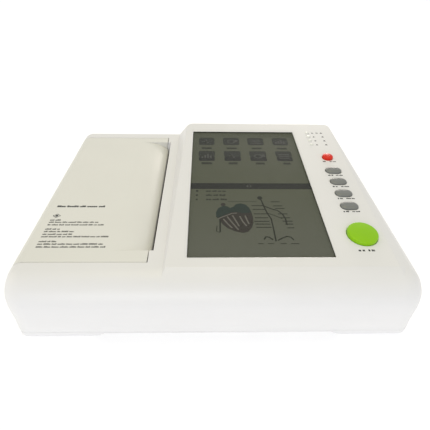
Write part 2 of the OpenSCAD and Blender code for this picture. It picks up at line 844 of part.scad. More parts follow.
module lcd_bracket() {
    color("silver") on_panel() difference() {
        translate([window_x, window_y, bracket_z]) linear_extrude(height = bracket_t) {
            difference() {
                square([window_w + 12, window_l + 7], center = true);
                square([window_w - 30, window_l - 40], center = true);
            }
            for (sx = [-1, 1], sy = [-1, 1]) translate([sx * (window_w / 2 - 5), sy * (window_l / 2 + 5)])
                square([14, 12], center = true);
        }
        for (p = lcd_posts) translate([p[0], p[1], bracket_z - 1]) cylinder(r = 1.7, h = 4);
    }
}

module panel_screws() {
    color("silver") on_panel() {
        for (p = lcd_posts) translate([p[0], p[1], bracket_z]) panel_screw(bracket_z);
        for (p = keypad_posts) translate([p[0], p[1], key_board_z]) panel_screw(key_board_z);
    }
}

// A screw with its head under z = 0, and its tip inside the panel's own posts
module panel_screw(z) {
    translate([0, 0, -1.6]) cylinder(r = 2.8, h = 1.6);
    cylinder(r = 1.25, h = -4.4 - z);
}

module keypad_board() {
    color("darkgreen") on_panel() translate([121, 18, key_board_z]) difference() {
        cube([40, 228, board_t]);
        for (p = keypad_posts) translate([p[0] - 121, p[1] - 18, -1]) cylinder(r = 1.7, h = 4);
    }
}

module key_switches() {
    z = key_board_z + board_t;
    color("black") on_panel() for (y = concat([power_y, start_y], key_ys)) translate([key_x, y, z]) {
        translate([-3, -3, 0]) cube([6, 6, 1.8]);
        cylinder(r = 1.7, h = 3);
    }
}

module light_pipes() {
    color("honeydew") on_panel() for (y = led_ys) translate([led_x, y, 0]) {
        translate([0, 0, -8.9]) cylinder(r = 1.4, h = 8.8);
        translate([0, 0, -4.4]) cylinder(r = 2.4, h = 1.2);
    }
}

// Plunger, flange and domed cap of a round key
module round_key(r, height, dome) {
    translate([0, 0, -4.6]) cylinder(r = 2.4, h = 1);
    translate([0, 0, -4.2]) cylinder(r = r + key_lip, h = 1.2);
    translate([0, 0, -4.2]) cylinder(r = r, h = 4.2 + height - dome);
    translate([0, 0, height - dome]) rotate_extrude() {
        polygon([[0, 0], [r, 0], [r - dome * 0.35, dome * 0.55], [r * 0.72, dome * 0.88], [0, dome]]);
    }
}

module function_key(y) {
    color("darkgray") on_panel() translate([key_x, y, 0]) {
        translate([0, 0, -4.6]) cylinder(r = 2.4, h = 1);
        translate([0, 0, -4.2]) linear_extrude(height = 1.2)
            stadium(key_w + 2 * key_lip, key_d + 2 * key_lip);
        translate([0, 0, -4.2]) linear_extrude(height = 5.9) stadium(key_w, key_d);
        translate([0, 0, 1.7]) linear_extrude(height = 0.7) stadium(key_w - 1.4, key_d - 1.4);
    }
}

module power_button() {
    color("tomato") on_panel() translate([key_x, power_y, 0]) round_key(power_r, 3.6, 1.2);
}

module function_key_1() {
    function_key(key_ys[0]);
}

module function_key_2() {
    function_key(key_ys[1]);
}

module function_key_3() {
    function_key(key_ys[2]);
}

module function_key_4() {
    function_key(key_ys[3]);
}

module start_button() {
    color("yellowgreen") on_panel() translate([key_x, start_y, 0]) round_key(start_r, 4.4, 1.8);
}

module speaker() {
    color("black") difference() {
        post([speaker_x, 0], 14, 4, 11);
        post([speaker_x, 0], 11, 3, 5);
    }
}

module board_screws() {
    color("silver") {
        for (p = main_posts) screw_down(p, main_z + board_t, 1.25, 7);
        for (p = psu_posts) screw_down(p, psu_z + board_t, 1.25, 6);
    }
}

module display_cable() {
    color("goldenrod") box([25, 55], [-102, -101.4], [main_z + board_t + 5.1, 78.5]);
}

// ---------- printer, moving side ----------

// Outer curve of the door, from the flat top down to the slot
function trough_curve(shift, n) = [for (i = [0:n]) [
    trough_x0 + (door_x1 - trough_x0 - shift) * sin(90 * i / n),
    top_z - shift - trough_drop * (1 - cos(90 * i / n))
]];

module door_section() {
    inner = trough_curve(door_wall, 10);
    polygon(concat(
        [[roll_l_c[0], top_z]],
        trough_curve(0, 10),
        [for (i = [len(inner) - 1:-1:0]) inner[i]],
        [[roll_l_c[0], top_z - door_wall]]
    ));
    roll = [for (r = [door_roll_r, door_roll_r - door_wall]) arc(roll_l_c, r, 90, 195, 24)];
    polygon(concat(roll[0], [for (i = [len(roll[1]) - 1:-1:0]) roll[1][i]]));
}

// Flat ends of the door beside the trough
module door_arm(y0, y1) {
    along_y(y0, y1) translate([trough_x0 - 4, top_z - door_wall])
        square([door_x1 - trough_x0 + 2.5, door_wall]);
}

// Hinge knuckle, joined to the door's skin above it
module door_knuckle(y0, y1) {
    along_y(y0, y1) {
        translate(roll_l_c) circle(r = 6);
        translate([roll_l_c[0] - 2, roll_l_c[1]]) square([12, top_z - 1 - roll_l_c[1]]);
    }
}

module printer_door() {
    color("white") difference() {
        union() {
            along_y(door_y0, door_y1) intersection() {
                door_section();
                translate([-200, 0]) square([trough_x0 + 200, 120]);
            }
            along_y(trough_y0, trough_y1) intersection() {
                door_section();
                translate([trough_x0 - 0.5, 0]) square([60, 120]);
            }
            door_arm(door_y0, trough_y0);
            door_arm(trough_y1, door_y1);
            for (y = [trough_y0 - 2, trough_y1]) along_y(y, y + 2)
                polygon(concat(
                    trough_curve(door_wall, 10), [[door_x1 - door_wall, top_z], [trough_x0, top_z]]
                ));
            door_knuckle(door_y0, door_y0 + 11);
            door_knuckle(door_y1 - 11, door_y1);
            for (y = [-60, 6.5, 73]) along_y(y - 1, y + 1)
                polygon([
                    [roll_l_c[0] + 6, top_z - 1], [roll_l_c[0] + 10, top_z - 7],
                    [trough_x0 - 4, top_z - 7], [trough_x0, top_z - 1]
                ]);
            box([-165, -105], [door_y0, door_y0 + 2], [top_z - 8, top_z - 1]);
            box([-165, -105], [door_y1 - 2, door_y1], [top_z - 8, top_z - 1]);
        }
        bar_y(roll_l_c, pin_r + 0.06, door_y0 - 1, door_y1 + 1);
    }
}

module platen_bracket(y0) {
    along_y(y0, y0 + 2) difference() {
        polygon(concat(
            arc(platen_c, 6.2, 180, 360, 10),
            [
                [platen_c[0] + 6.2, 70], [-65, 80], [-65, top_z - door_wall - 0.1],
                [-88, top_z - door_wall - 0.1], [-88, 78]
            ]
        ));
        translate(platen_c) circle(r = 4.5);
    }
}

module platen_brackets() {
    color("silver") {
        platen_bracket(-107);
        platen_bracket(116.1);
    }
}

module platen_bushes() {
    color("tan") for (y = [-107, 116.1]) difference() {
        bar_y(platen_c, 4.5, y, y + 2);
        bar_y(platen_c, shaft_r + 0.05, y - 1, y + 3);
    }
}

module platen_shaft() {
    color("silver") bar_y(platen_c, shaft_r, -108.5, 125);
}

module platen_rubber() {
    color("black") difference() {
        bar_y(platen_c, platen_r, platen_y0, platen_y1);
        bar_y(platen_c, shaft_r, platen_y0 - 1, platen_y1 + 1);
    }
}

module platen_gear() {
    color("white") spur_gear(platen_c, teeth_platen, platen_phase, shaft_r, feed_y0, feed_y1);
}

module idler_gear() {
    color("white") spur_gear(idler_c, teeth_idler, idler_phase, stud_r + 0.06, feed_y0, feed_y1);
}

module motor_pinion() {
    color("gold") spur_gear(pinion_c, teeth_pinion, pinion_phase, 2, feed_y0, feed_y1);
    color("silver") bar_y(pinion_c, 2, plate_y0 + 0.1, feed_y1 + 1);
}

module print_head() {
    color("tan") {
        box([head_x, head_x + 1], [platen_y0, platen_y1], [head_z0, head_z1]);
        box([head_x + 1, head_x + 2.6], [platen_y0 + 20, platen_y1 - 20], [head_z0, head_z0 + 3]);
    }
}

module head_heatsink() {
    color("silver") {
        difference() {
            box([head_x + 1, head_x + 11.5], [platen_y0, platen_y1], [head_z0, head_z1]);
            box([head_x + 0.9, head_x + 2.7], [platen_y0 + 19.9, platen_y1 - 19.9],
                [head_z0 - 1, head_z0 + 3.1]);
            for (z = [head_z0 + 5.5, head_z0 + 8.5, head_z0 + 11.5])
                box([head_x + 5.5, head_x + 12], [platen_y0 - 1, platen_y1 + 1], [z, z + 1.5]);
        }
        bar_y(head_pivot, 2, front_plate_y0 - 0.6, platen_y0);
        bar_y(head_pivot, 2, platen_y1, plate_y0 + plate_t + 0.6);
    }
}

module paper_roll() {
    color("ivory") difference() {
        bar_y(roll_c, paper_r, roll_y0, roll_y1);
        bar_y(roll_c, core_r, roll_y0 - 1, roll_y1 + 1);
    }
}

module paper_core() {
    color("gray") {
        difference() {
            bar_y(roll_c, core_r, roll_y0, roll_y1);
            bar_y(roll_c, core_r - 2, roll_y0 + 3, roll_y1 - 3);
        }
        bar_y(roll_c, journal_r, roll_y0 - 5.8, roll_y0 + 3);
        bar_y(roll_c, journal_r, roll_y1 - 3, roll_y1 + 5.8);
    }
}

lower_housing();
upper_housing();
rubber_feet();
case_screws();
battery_cover();
battery_cover_screws();
battery_pack();
paper_tray();
printer_chassis();
stepper_motor();
tear_bar();
paper_sensor();
head_springs();
hinge_pins();
main_board();
main_board_components();
front_end_shield();
input_board();
patient_port();
port_jackscrews();
psu_board();
psu_components();
mains_inlet();
inlet_contacts();
mains_switch_body();
fuse_caps();
equipotential_post();
usb_ports();
lan_port();
rear_panel();
port_panel();
display_lens();
lcd_module();
lcd_bracket();
panel_screws();
keypad_board();
key_switches();
light_pipes();
speaker();
board_screws();
display_cable();
printer_door();
platen_brackets();
platen_bushes();
platen_shaft();
platen_rubber();
platen_gear();
print_head();
head_heatsink();
idler_gear();
motor_pinion();
paper_roll();
paper_core();
power_button();
function_key_1();
function_key_2();
function_key_3();
function_key_4();
start_button();
mains_rocker();
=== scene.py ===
import math
import random

import bmesh
import bpy
from mathutils import Matrix, Vector


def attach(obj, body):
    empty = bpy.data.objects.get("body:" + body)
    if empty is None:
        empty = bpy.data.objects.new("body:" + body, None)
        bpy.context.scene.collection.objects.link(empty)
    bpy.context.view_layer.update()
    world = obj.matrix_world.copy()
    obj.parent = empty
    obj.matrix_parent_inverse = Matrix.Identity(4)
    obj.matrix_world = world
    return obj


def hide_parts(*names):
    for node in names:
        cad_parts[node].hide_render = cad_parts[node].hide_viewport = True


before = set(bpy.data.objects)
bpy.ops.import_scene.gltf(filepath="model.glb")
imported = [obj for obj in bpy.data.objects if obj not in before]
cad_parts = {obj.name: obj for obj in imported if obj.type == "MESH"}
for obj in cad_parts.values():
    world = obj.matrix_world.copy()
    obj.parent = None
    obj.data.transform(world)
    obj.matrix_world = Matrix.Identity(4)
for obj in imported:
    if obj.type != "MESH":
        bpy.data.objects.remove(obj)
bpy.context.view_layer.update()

# ---------- sizes, in millimetres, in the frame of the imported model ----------

MM = 0.001
HALF_W, HALF_D, TOP_Z = 192.0, 147.5, 86.0
WALL = 2.6
PARTING_Z = 16.0
GAP = 0.3
SHARP_DEG = 32
FOOT_R = 5.0
ROLL_L, ROLL_L_R = (-171.5, 72.5), 13.5
ROLL_R, ROLL_R_R = (165.0, 64.5), 21.5
NOSE, NOSE_R = (-121.5, 60.0), 26.0
HEEL, HEEL_R = (137.5, 76.0), 10.0
TUCK_R, NOSE_TUCK_R, HEEL_TUCK_R = 200.0, 140.0, 250.0
PLAN_FRONT_R, PLAN_BACK_R = 26.0, 16.0
BAY = (-116.3, 127.8)
DOOR = (-116.0, 127.5)
TROUGH = (-101.0, 114.0)
TROUGH_X0, DOOR_X1, TROUGH_DROP, LIP_X = -97.0, -61.0, 16.0, -62.4
SLOT_X, CREASE_X = -58.0, -47.5
TUNNEL_Z = 12.0
PANEL_Y, PANEL_Z, PANEL_TILT = -125.0, 88.3, math.radians(3.72)
WINDOW, WINDOW_W, WINDOW_L = (41.0, 126.3), 135.4, 226.8
LENS_Z = -1.6
KEY_X, POWER_Y, START_Y = 140.9, 174.6, 40.2
KEY_YS = (146.4, 125.0, 103.6, 82.3)
LEGEND_YS = (137.5, 116.1, 95.0, 73.9)
LED_X, LED_YS = 128.7, (235.0, 225.0, 215.0, 205.0)
KEY_W, KEY_D, POWER_R, START_R = 18.4, 11.6, 6.3, 14.6
POWER_TOP, KEY_TOP, START_TOP = 3.6, 2.4, 4.4
REAR_Y = 142.0
PAPER, PAPER_R = (-125.0, 46.0), 25.0
FEET = ((-155, -115), (-155, 120), (155, -115), (155, 120))
CASE_POSTS = ((-165, -127), (-165, 134.8), (40, -132), (-30, 134), (170, -110), (172, 100))
COVER_X, COVER_Y = (31.0, 119.0), (-74.0, 4.0)
COVER_SCREWS = ((75, -78), (75, 8))
POST_R, PILOT_R, SHANK_R, COUNTERBORE_R, FOOT_PAD_R = 4.2, 1.25, 1.7, 3.4, 7.5
SKID_X = (-120, 127)
HINGE_BOSS_R, HINGE_PIN_R = 6.0, 2.0
PRINT_LIFT = 0.03

PANEL = (
    Matrix.Translation((0, PANEL_Y, PANEL_Z)) @ Matrix.Rotation(PANEL_TILT, 4, "X")
)


# ---------- mesh kit ----------

def arc(cx, cy, r, a0, a1, n):
    steps = [math.radians(a0 + (a1 - a0) * i / n) for i in range(n + 1)]
    return [(cx + r * math.cos(a), cy + r * math.sin(a)) for a in steps]


def circle(cx, cy, r, n=48):
    return arc(cx, cy, r, 0, 360 - 360 / n, n - 1)


def rounded(x0, x1, y0, y1, r, n=6):
    """Corner points of a rounded rectangle, anticlockwise."""
    return (
        arc(x1 - r, y1 - r, r, 0, 90, n) + arc(x0 + r, y1 - r, r, 90, 180, n)
        + arc(x0 + r, y0 + r, r, 180, 270, n) + arc(x1 - r, y0 + r, r, 270, 360, n)
    )


def to_object(bm, name="work"):
    bmesh.ops.recalc_face_normals(bm, faces=bm.faces)
    mesh = bpy.data.meshes.new(name)
    bm.to_mesh(mesh)
    bm.free()
    obj = bpy.data.objects.new(name, mesh)
    bpy.context.scene.collection.objects.link(obj)
    return obj


def add_rings(bm, rings):
    """Joins rings of points, all of one length, into a skin with flat ends."""
    rows = [[bm.verts.new([c * MM for c in p]) for p in ring] for ring in rings]
    n = len(rows[0])
    for low, high in zip(rows, rows[1:]):
        for i in range(n):
            j = (i + 1) % n
            bm.faces.new((low[i], low[j], high[j], high[i]))
    bm.faces.new(rows[0][::-1])
    bm.faces.new(rows[-1])


def loft(rings, matrix=None):
    bm = bmesh.new()
    add_rings(bm, rings)
    if matrix is not None:
        bm.transform(Matrix.Scale(MM, 4) @ matrix @ Matrix.Scale(1 / MM, 4))
    return to_object(bm)


def place(p, axis, level):
    """A point of a flat profile that is extruded along an axis."""
    return {"x": (level, p[0], p[1]), "y": (p[0], level, p[1]), "z": (p[0], p[1], level)}[axis]


def prism(points, axis, low, high, matrix=None):
    return loft([[place(p, axis, v) for p in points] for v in (low, high)], matrix)


def box(x, y, z):
    corners = [(x[0], y[0]), (x[1], y[0]), (x[1], y[1]), (x[0], y[1])]
    return prism(corners, "z", z[0], z[1])


def bar_y(c, r, y0, y1, n=48):
    return prism(circle(c[0], c[1], r, n), "y", y0, y1)


def post(p, r, z0, z1, matrix=None, n=40):
    return prism(circle(p[0], p[1], r, n), "z", z0, z1, matrix)


def hull(points):
    bm = bmesh.new()
    for p in points:
        bm.verts.new([c * MM for c in p])
    found = bmesh.ops.convex_hull(bm, input=bm.verts)
    loose = found["geom_interior"] + found["geom_unused"]
    spare = [g for g in loose if isinstance(g, bmesh.types.BMVert)]
    bmesh.ops.delete(bm, geom=list(set(spare)), context="VERTS")
    bmesh.ops.dissolve_limit(
        bm, angle_limit=math.radians(0.3), verts=bm.verts, edges=bm.edges
    )
    return to_object(bm)


def boolean(target, tool, operation):
    mod = target.modifiers.new("step", "BOOLEAN")
    mod.operation, mod.solver, mod.object = operation, "MANIFOLD", tool
    graph = bpy.context.evaluated_depsgraph_get()
    mesh = bpy.data.meshes.new_from_object(target.evaluated_get(graph))
    target.modifiers.clear()
    target.data = mesh
    bpy.data.objects.remove(tool)
    return target


def join(target, *tools):
    for tool in tools:
        boolean(target, tool, "UNION")
    return target


def cut(target, *tools):
    for tool in tools:
        boolean(target, tool, "DIFFERENCE")
    return target


def keep(target, tool):
    return boolean(target, tool, "INTERSECT")


def finish_piece(obj, name, body, mat, replaces=()):
    """Names and smooths a piece, and gives it its body and material."""
    obj.name = obj.data.name = name
    for face in obj.data.polygons:
        face.use_smooth = True
    obj.data.set_sharp_from_angle(angle=math.radians(SHARP_DEG))
    weighted = obj.modifiers.new("shading", "WEIGHTED_NORMAL")
    weighted.keep_sharp = True
    obj.data.materials.clear()
    obj.data.materials.append(mat)
    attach(obj, body)
    if replaces:
        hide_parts(*replaces)
    return obj


# ---------- materials ----------

def linear(rgb):
    def channel(v):
        v /= 255
        return v / 12.92 if v <= 0.04045 else ((v + 0.055) / 1.055) ** 2.4
    return tuple(channel(v) for v in rgb) + (1.0,)


def scaled(color, k):
    return tuple(min(1.0, c * k) for c in color[:3]) + (1.0,)


class Surface:
    """A procedural finish: clouded colour, uneven gloss and a fine bump."""

    def __init__(self, name, rgb, rough=0.45, metal=0.0, vary=0.03, cloud=45.0,
                 bump=0.12, grain=1800.0, edge=0.0, coat=0.0, stretch=(1, 1, 1)):
        self.mat = bpy.data.materials.new(name)
        self.mat.use_nodes = True
        self.nodes, self.links = self.mat.node_tree.nodes, self.mat.node_tree.links
        self.shader = self.nodes["Principled BSDF"]
        self.shader.inputs["Metallic"].default_value = metal
        self.shader.inputs["Coat Weight"].default_value = coat
        self.shader.inputs["Coat Roughness"].default_value = 0.12
        coords = self.nodes.new("ShaderNodeTexCoord")
        self.mapping = self.nodes.new("ShaderNodeMapping")
        self.mapping.inputs["Scale"].default_value = stretch
        self.links.new(coords.outputs["Object"], self.mapping.inputs["Vector"])
        color = linear(rgb)
        self.ramp = self.ramp_of(self.noise(cloud, 4).outputs["Fac"], [
            (0.3, scaled(color, 1 - vary)), (0.7, scaled(color, 1 + vary))])
        self.color = self.ramp.outputs["Color"]
        self.links.new(self.color, self.shader.inputs["Base Color"])
        uneven = self.nodes.new("ShaderNodeMapRange")
        self.links.new(self.noise(cloud * 3, 3).outputs["Fac"], uneven.inputs["Value"])
        uneven.inputs["To Min"].default_value = max(0.02, rough - 0.06)
        uneven.inputs["To Max"].default_value = min(1.0, rough + 0.06)
        self.links.new(uneven.outputs["Result"], self.shader.inputs["Roughness"])
        relief = self.nodes.new("ShaderNodeBump")
        relief.inputs["Strength"].default_value = bump
        relief.inputs["Distance"].default_value = 0.0001
        self.links.new(self.noise(grain, 2).outputs["Fac"], relief.inputs["Height"])
        if edge:
            rounding = self.nodes.new("ShaderNodeBevel")
            rounding.samples = 4
            rounding.inputs["Radius"].default_value = edge * MM
            self.links.new(rounding.outputs["Normal"], relief.inputs["Normal"])
        self.links.new(relief.outputs["Normal"], self.shader.inputs["Normal"])

    def noise(self, scale, detail):
        node = self.nodes.new("ShaderNodeTexNoise")
        node.inputs["Scale"].default_value = scale
        node.inputs["Detail"].default_value = detail
        self.links.new(self.mapping.outputs["Vector"], node.inputs["Vector"])
        return node

    def ramp_of(self, socket, stops):
        ramp = self.nodes.new("ShaderNodeValToRGB")
        while len(ramp.color_ramp.elements) < len(stops):
            ramp.color_ramp.elements.new(0.5)
        for element, (position, color) in zip(ramp.color_ramp.elements, stops):
            element.position, element.color = position, color
        self.links.new(socket, ramp.inputs["Fac"])
        return ramp

    def overlay(self, mask, rgb):
        """Paints rgb over the base colour where the mask socket is one."""
        mix = self.nodes.new("ShaderNodeMix")
        mix.data_type = "RGBA"
        self.links.new(mask, mix.inputs["Factor"])
        self.links.new(self.color, mix.inputs["A"])
        mix.inputs["B"].default_value = linear(rgb)
        self.color = mix.outputs["Result"]
        self.links.new(self.color, self.shader.inputs["Base Color"])
        return self

    def math(self, operation, a, b=None, clamp=False):
        node = self.nodes.new("ShaderNodeMath")
        node.operation, node.use_clamp = operation, clamp
        for socket, value in zip(node.inputs, (a, b)):
            if isinstance(value, (int, float)):
                socket.default_value = value
            elif value is not None:
                self.links.new(value, socket)
        return node.outputs[0]

    def axis(self, name):
        node = self.nodes.new("ShaderNodeSeparateXYZ")
        self.links.new(self.mapping.outputs["Vector"], node.inputs["Vector"])
        return node.outputs[name]

    def lines(self, socket, pitch, share):
        """One where socket, in metres, lies on a line of a ruled pattern."""
        phase = self.math("FRACT", self.math("DIVIDE", socket, pitch * MM))
        return self.math("LESS_THAN", phase, share)


case = Surface("case_plastic", (227, 226, 226), rough=0.34, vary=0.012, cloud=16, bump=0.10,
               grain=2600, edge=0.5)
door_plastic = Surface("door_plastic", (222, 221, 215), rough=0.38, vary=0.012, cloud=16, bump=0.10,
                       grain=2600, edge=0.4)
tray_plastic = Surface("tray_plastic", (196, 197, 196), rough=0.55, vary=0.03, bump=0.3, grain=2200)
rubber = Surface("rubber_black", (38, 38, 38), rough=0.75, vary=0.12, bump=0.35, grain=1500)
steel = Surface("steel", (176, 177, 178), rough=0.28, metal=1.0, vary=0.06, bump=0.08, grain=900)
sheet = Surface("sheet_steel", (168, 170, 172), rough=0.42, metal=1.0, vary=0.12, cloud=120,
                bump=0.1, grain=700, stretch=(1, 0.06, 1))
wrap = Surface("battery_wrap", (38, 84, 150), rough=0.3, vary=0.06, bump=0.3, grain=260)
motor = Surface("motor_metal", (52, 53, 55), rough=0.35, vary=0.08, bump=0.2, grain=1400)
black = Surface("black_plastic", (30, 30, 32), rough=0.45, vary=0.08, bump=0.3, grain=2400, edge=0.3)
chips = Surface("chip_black", (32, 32, 34), rough=0.5, vary=0.25, cloud=260, bump=0.2, grain=1800)
windings = Surface("psu_parts", (186, 150, 62), rough=0.5, vary=0.3, cloud=70, bump=0.3, grain=900)
brass = Surface("contact_brass", (206, 170, 96), rough=0.3, metal=1.0, vary=0.08, bump=0.08)
nickel = Surface("port_shell", (186, 187, 190), rough=0.24, metal=1.0, vary=0.05, bump=0.06)
pipe = Surface("light_pipe", (226, 228, 222), rough=0.3, vary=0.03, bump=0.1, coat=0.3)
film = Surface("cable_amber", (190, 122, 46), rough=0.35, vary=0.1, bump=0.1)
bronze = Surface("bush_bronze", (176, 130, 78), rough=0.45, metal=1.0, vary=0.15, bump=0.3)
nylon = Surface("gear_nylon", (232, 229, 219), rough=0.5, vary=0.03, bump=0.15)
glaze = Surface("head_ceramic", (150, 132, 106), rough=0.18, vary=0.08, bump=0.05)
alloy = Surface("heatsink_alu", (196, 198, 200), rough=0.35, metal=1.0, vary=0.08, bump=0.1,
                stretch=(1, 0.08, 1))
core = Surface("core_grey", (120, 122, 124), rough=0.5, vary=0.04, bump=0.2)
key_red = Surface("key_red", (216, 40, 14), rough=0.34, vary=0.03, bump=0.08)
key_grey = Surface("key_grey", (118, 120, 118), rough=0.42, vary=0.03, bump=0.12, coat=0.1)
key_green = Surface("key_green", (140, 197, 0), rough=0.34, vary=0.02, bump=0.06)
for surface in (key_red, key_green):
    surface.shader.inputs["Specular IOR Level"].default_value = 0.3
ink = Surface("printed_ink", (52, 54, 56), rough=0.5, vary=0.08, cloud=300, bump=0.05)
ink_soft = Surface("printed_ink_soft", (98, 98, 96), rough=0.5, vary=0.08, cloud=300, bump=0.05)
key_sign = Surface("key_sign", (232, 128, 112), rough=0.45, vary=0.02, cloud=300, bump=0.05)

# Boards: solder mask with lighter tracks
board = Surface("pcb_green", (22, 92, 48), rough=0.3, vary=0.1, bump=0.1)
tracks = board.math("MULTIPLY", board.lines(board.axis("X"), 1.9, 0.26),
                    board.math("GREATER_THAN", board.noise(140, 1).outputs["Fac"], 0.52))
rows = board.math("MULTIPLY", board.lines(board.axis("Y"), 2.3, 0.24),
                  board.math("LESS_THAN", board.noise(110, 1).outputs["Fac"], 0.47))
board.overlay(board.math("MAXIMUM", tracks, rows), (40, 124, 66))

# Chart paper: a ruled grid along the roll and around its girth
paper = Surface("chart_paper", (238, 235, 226), rough=0.7, vary=0.02, bump=0.2, grain=2400)
turn = paper.math("ARCTAN2", paper.math("SUBTRACT", paper.axis("Z"), PAPER[1] * MM),
                  paper.math("SUBTRACT", paper.axis("X"), PAPER[0] * MM))
girth = paper.math("MULTIPLY", turn, PAPER_R * MM)
fine = paper.math("MAXIMUM", paper.lines(paper.axis("Y"), 5, 0.07), paper.lines(girth, 5, 0.07))
paper.overlay(paper.math("MULTIPLY", fine, 0.7), (226, 150, 146))

# Display: an unlit reflective panel, its colour made a little lighter towards its front as a painted
# reflection
lcd = Surface("lcd_face", (97, 100, 84), rough=0.35, vary=0.025, cloud=14, bump=0.05)
painted_reflection_ramp = lcd.ramp_of(lcd.math("MULTIPLY_ADD", lcd.axis("Y"), -4.0), [
    (0.0, linear((92, 95, 80))), (0.55, linear((95, 98, 82))), (1.0, linear((108, 110, 101)))])
lcd.links.new(painted_reflection_ramp.outputs["Color"], lcd.shader.inputs["Base Color"])
lcd_inks = {
    "dark": (52, 54, 50), "darkest": (40, 41, 39), "mid": (52, 54, 47), "ink": (40, 42, 36),
    "light": (84, 84, 81), "pale": (118, 114, 108), "teal": (42, 56, 52), "brown": (58, 53, 50),
}
lcd_inks = {
    name: Surface(f"lcd_{name}", rgb, rough=0.35, vary=0.08 if name in ("teal", "brown") else 0.05,
                  cloud=200, bump=0.05)
    for name, rgb in lcd_inks.items()
}
for surface in (lcd, *lcd_inks.values()):
    surface.shader.inputs["Specular IOR Level"].default_value = 0.12

glass = Surface("lens_glass", (86, 88, 80), rough=0.08, vary=0.03, bump=0.02)
glass.shader.inputs["Alpha"].default_value = 0.10
glass.mat.blend_method = "BLEND"


# ---------- case ----------

def flank_profile(c, r, inset, tuck_r, bulge=True, n=18):
    """(distance from the middle, height) from the top of a side to its foot."""
    reach = HALF_W if bulge else abs(c[0]) + r
    first = 30 if bulge else 0
    big_r = r + (reach - abs(c[0]) - r) / (1 - math.cos(math.radians(30)))
    big_c = (abs(c[0]) - (big_r - r) * math.cos(math.radians(30)), c[1] - (big_r - r) * 0.5)
    if not bulge:
        big_c = (abs(c[0]), c[1])
    tuck_c = (reach - tuck_r, big_c[1])
    tuck = math.asin((big_c[1] - FOOT_R) / (tuck_r - FOOT_R))
    foot = (tuck_c[0] + (tuck_r - FOOT_R) * math.cos(tuck), FOOT_R)
    points = arc(abs(c[0]), c[1], r - inset, 90, first, n)
    if bulge:
        points += arc(big_c[0], big_c[1], big_r - inset, 30, 0, 10)
    deg = math.degrees(tuck)
    points += arc(tuck_c[0], tuck_c[1], tuck_r - inset, 0, -deg, 8)
    points += arc(foot[0], foot[1], FOOT_R - inset, -deg, -90, 6)
    return points


def reach_at(profile, z):
    """How far out a profile lies at height z."""
    for (x0, z0), (x1, z1) in zip(profile, profile[1:]):
        if z0 >= z >= z1:
            return x0 if z0 == z1 else x0 + (x1 - x0) * (z0 - z) / (z0 - z1)
    return profile[0][0] if z > profile[0][1] else profile[-1][0]


def corner_radius(plan, in_x, in_y, z):
    """Plan radius of a corner: drawn in evenly at the top, and crisper towards the foot."""
    even = max(1.5, plan - (in_x + in_y) / 2)
    left_over = math.hypot(max(plan - in_x, 0), max(plan - in_y, 0)) - plan
    crisp = max(2.0, left_over / (math.sqrt(2) - 1))
    low = min(1.0, max(0.0, (60 - z) / 40))
    return even * (1 - low) + min(even, crisp) * low


def envelope(inset, z_low=None, z_high=None):
    """The closed outside of the case without its raised panel, as stacked rounded rings."""
    right = flank_profile(ROLL_R, ROLL_R_R, inset, TUCK_R)
    left = flank_profile(ROLL_L, ROLL_L_R, inset, TUCK_R)
    front = flank_profile(NOSE, NOSE_R, inset, NOSE_TUCK_R, bulge=False)
    back = flank_profile(HEEL, HEEL_R, inset, HEEL_TUCK_R, bulge=False)
    z_low = inset if z_low is None else z_low
    z_high = TOP_Z - inset if z_high is None else z_high
    heights = sorted(z for p in (right, left, front, back) for _, z in p if z_low < z < z_high)
    levels = [z_low]
    for z in heights:
        if z - levels[-1] > (0.04 if z > z_high - 2 else 0.3):
            levels.append(z)
    if z_high - levels[-1] < 0.02:
        levels.pop()
    levels.append(z_high)
    rings = []
    for z in levels:
        xr, xl = reach_at(right, z), reach_at(left, z)
        yf, yb = reach_at(front, z), reach_at(back, z)
        ring = []
        for x, y, plan, a in ((xr, yb, PLAN_BACK_R, 0), (-xl, yb, PLAN_BACK_R, 90),
                              (-xl, -yf, PLAN_FRONT_R, 180), (xr, -yf, PLAN_FRONT_R, 270)):
            r = corner_radius(plan, HALF_W - inset - abs(x), HALF_D - inset - abs(y), z) - inset
            r = max(1.0, r)
            cx, cy = x - math.copysign(r, x), y - math.copysign(r, y)
            ring += arc(cx, cy, r, a, a + 90, 12)
        rings.append([(x, y, z) for x, y in ring])
    return loft(rings)


def inward(points, d):
    """A convex outline, anticlockwise, moved in by d."""
    moved = []
    n = len(points)
    for i, p in enumerate(points):
        normals = []
        for a, b in ((points[i - 1], p), (p, points[(i + 1) % n])):
            e = Vector((b[0] - a[0], b[1] - a[1])).normalized()
            normals.append(Vector((e.y, -e.x)))
        total = normals[0] + normals[1]
        shift = total * (d / (1 + normals[0].dot(normals[1])))
        moved.append((p[0] - shift.x, p[1] - shift.y))
    return moved


def raised_block(inset):
    corner, back_x, left_x, right_x, length = 9.0, -36.0, -46.0, 163.0, 260.5
    outline = [(left_x + inset, 0), (right_x - inset, 0)]
    outline += arc(right_x - corner, length - corner, corner - inset, 0, 90, 10)
    outline += arc(back_x + corner, length - corner, corner - inset, 90, 180, 10)
    points = []
    for y in (NOSE[0], HEEL[0] - 3):
        points += [place(p, "y", y) for p in circle(ROLL_R[0], ROLL_R[1], ROLL_R_R - inset, 96)]
    for x in (CREASE_X + inset, ROLL_R[0]):
        points += [place(p, "x", x) for p in circle(NOSE[0], NOSE[1], NOSE_R - inset, 96)]
    for x in (CREASE_X + inset, ROLL_R[0] - 4):
        points += [place(p, "x", x) for p in circle(HEEL[0], HEEL[1], HEEL_R - inset, 64)]
    rim = 1.1
    for step in range(5):
        a = math.radians(90 * step / 4)
        ring = inward(outline, rim * (1 - math.cos(a)))
        z = -inset - rim + rim * math.sin(a)
        points += [PANEL @ Vector((x, y, z)) for x, y in ring]
    return hull(points)


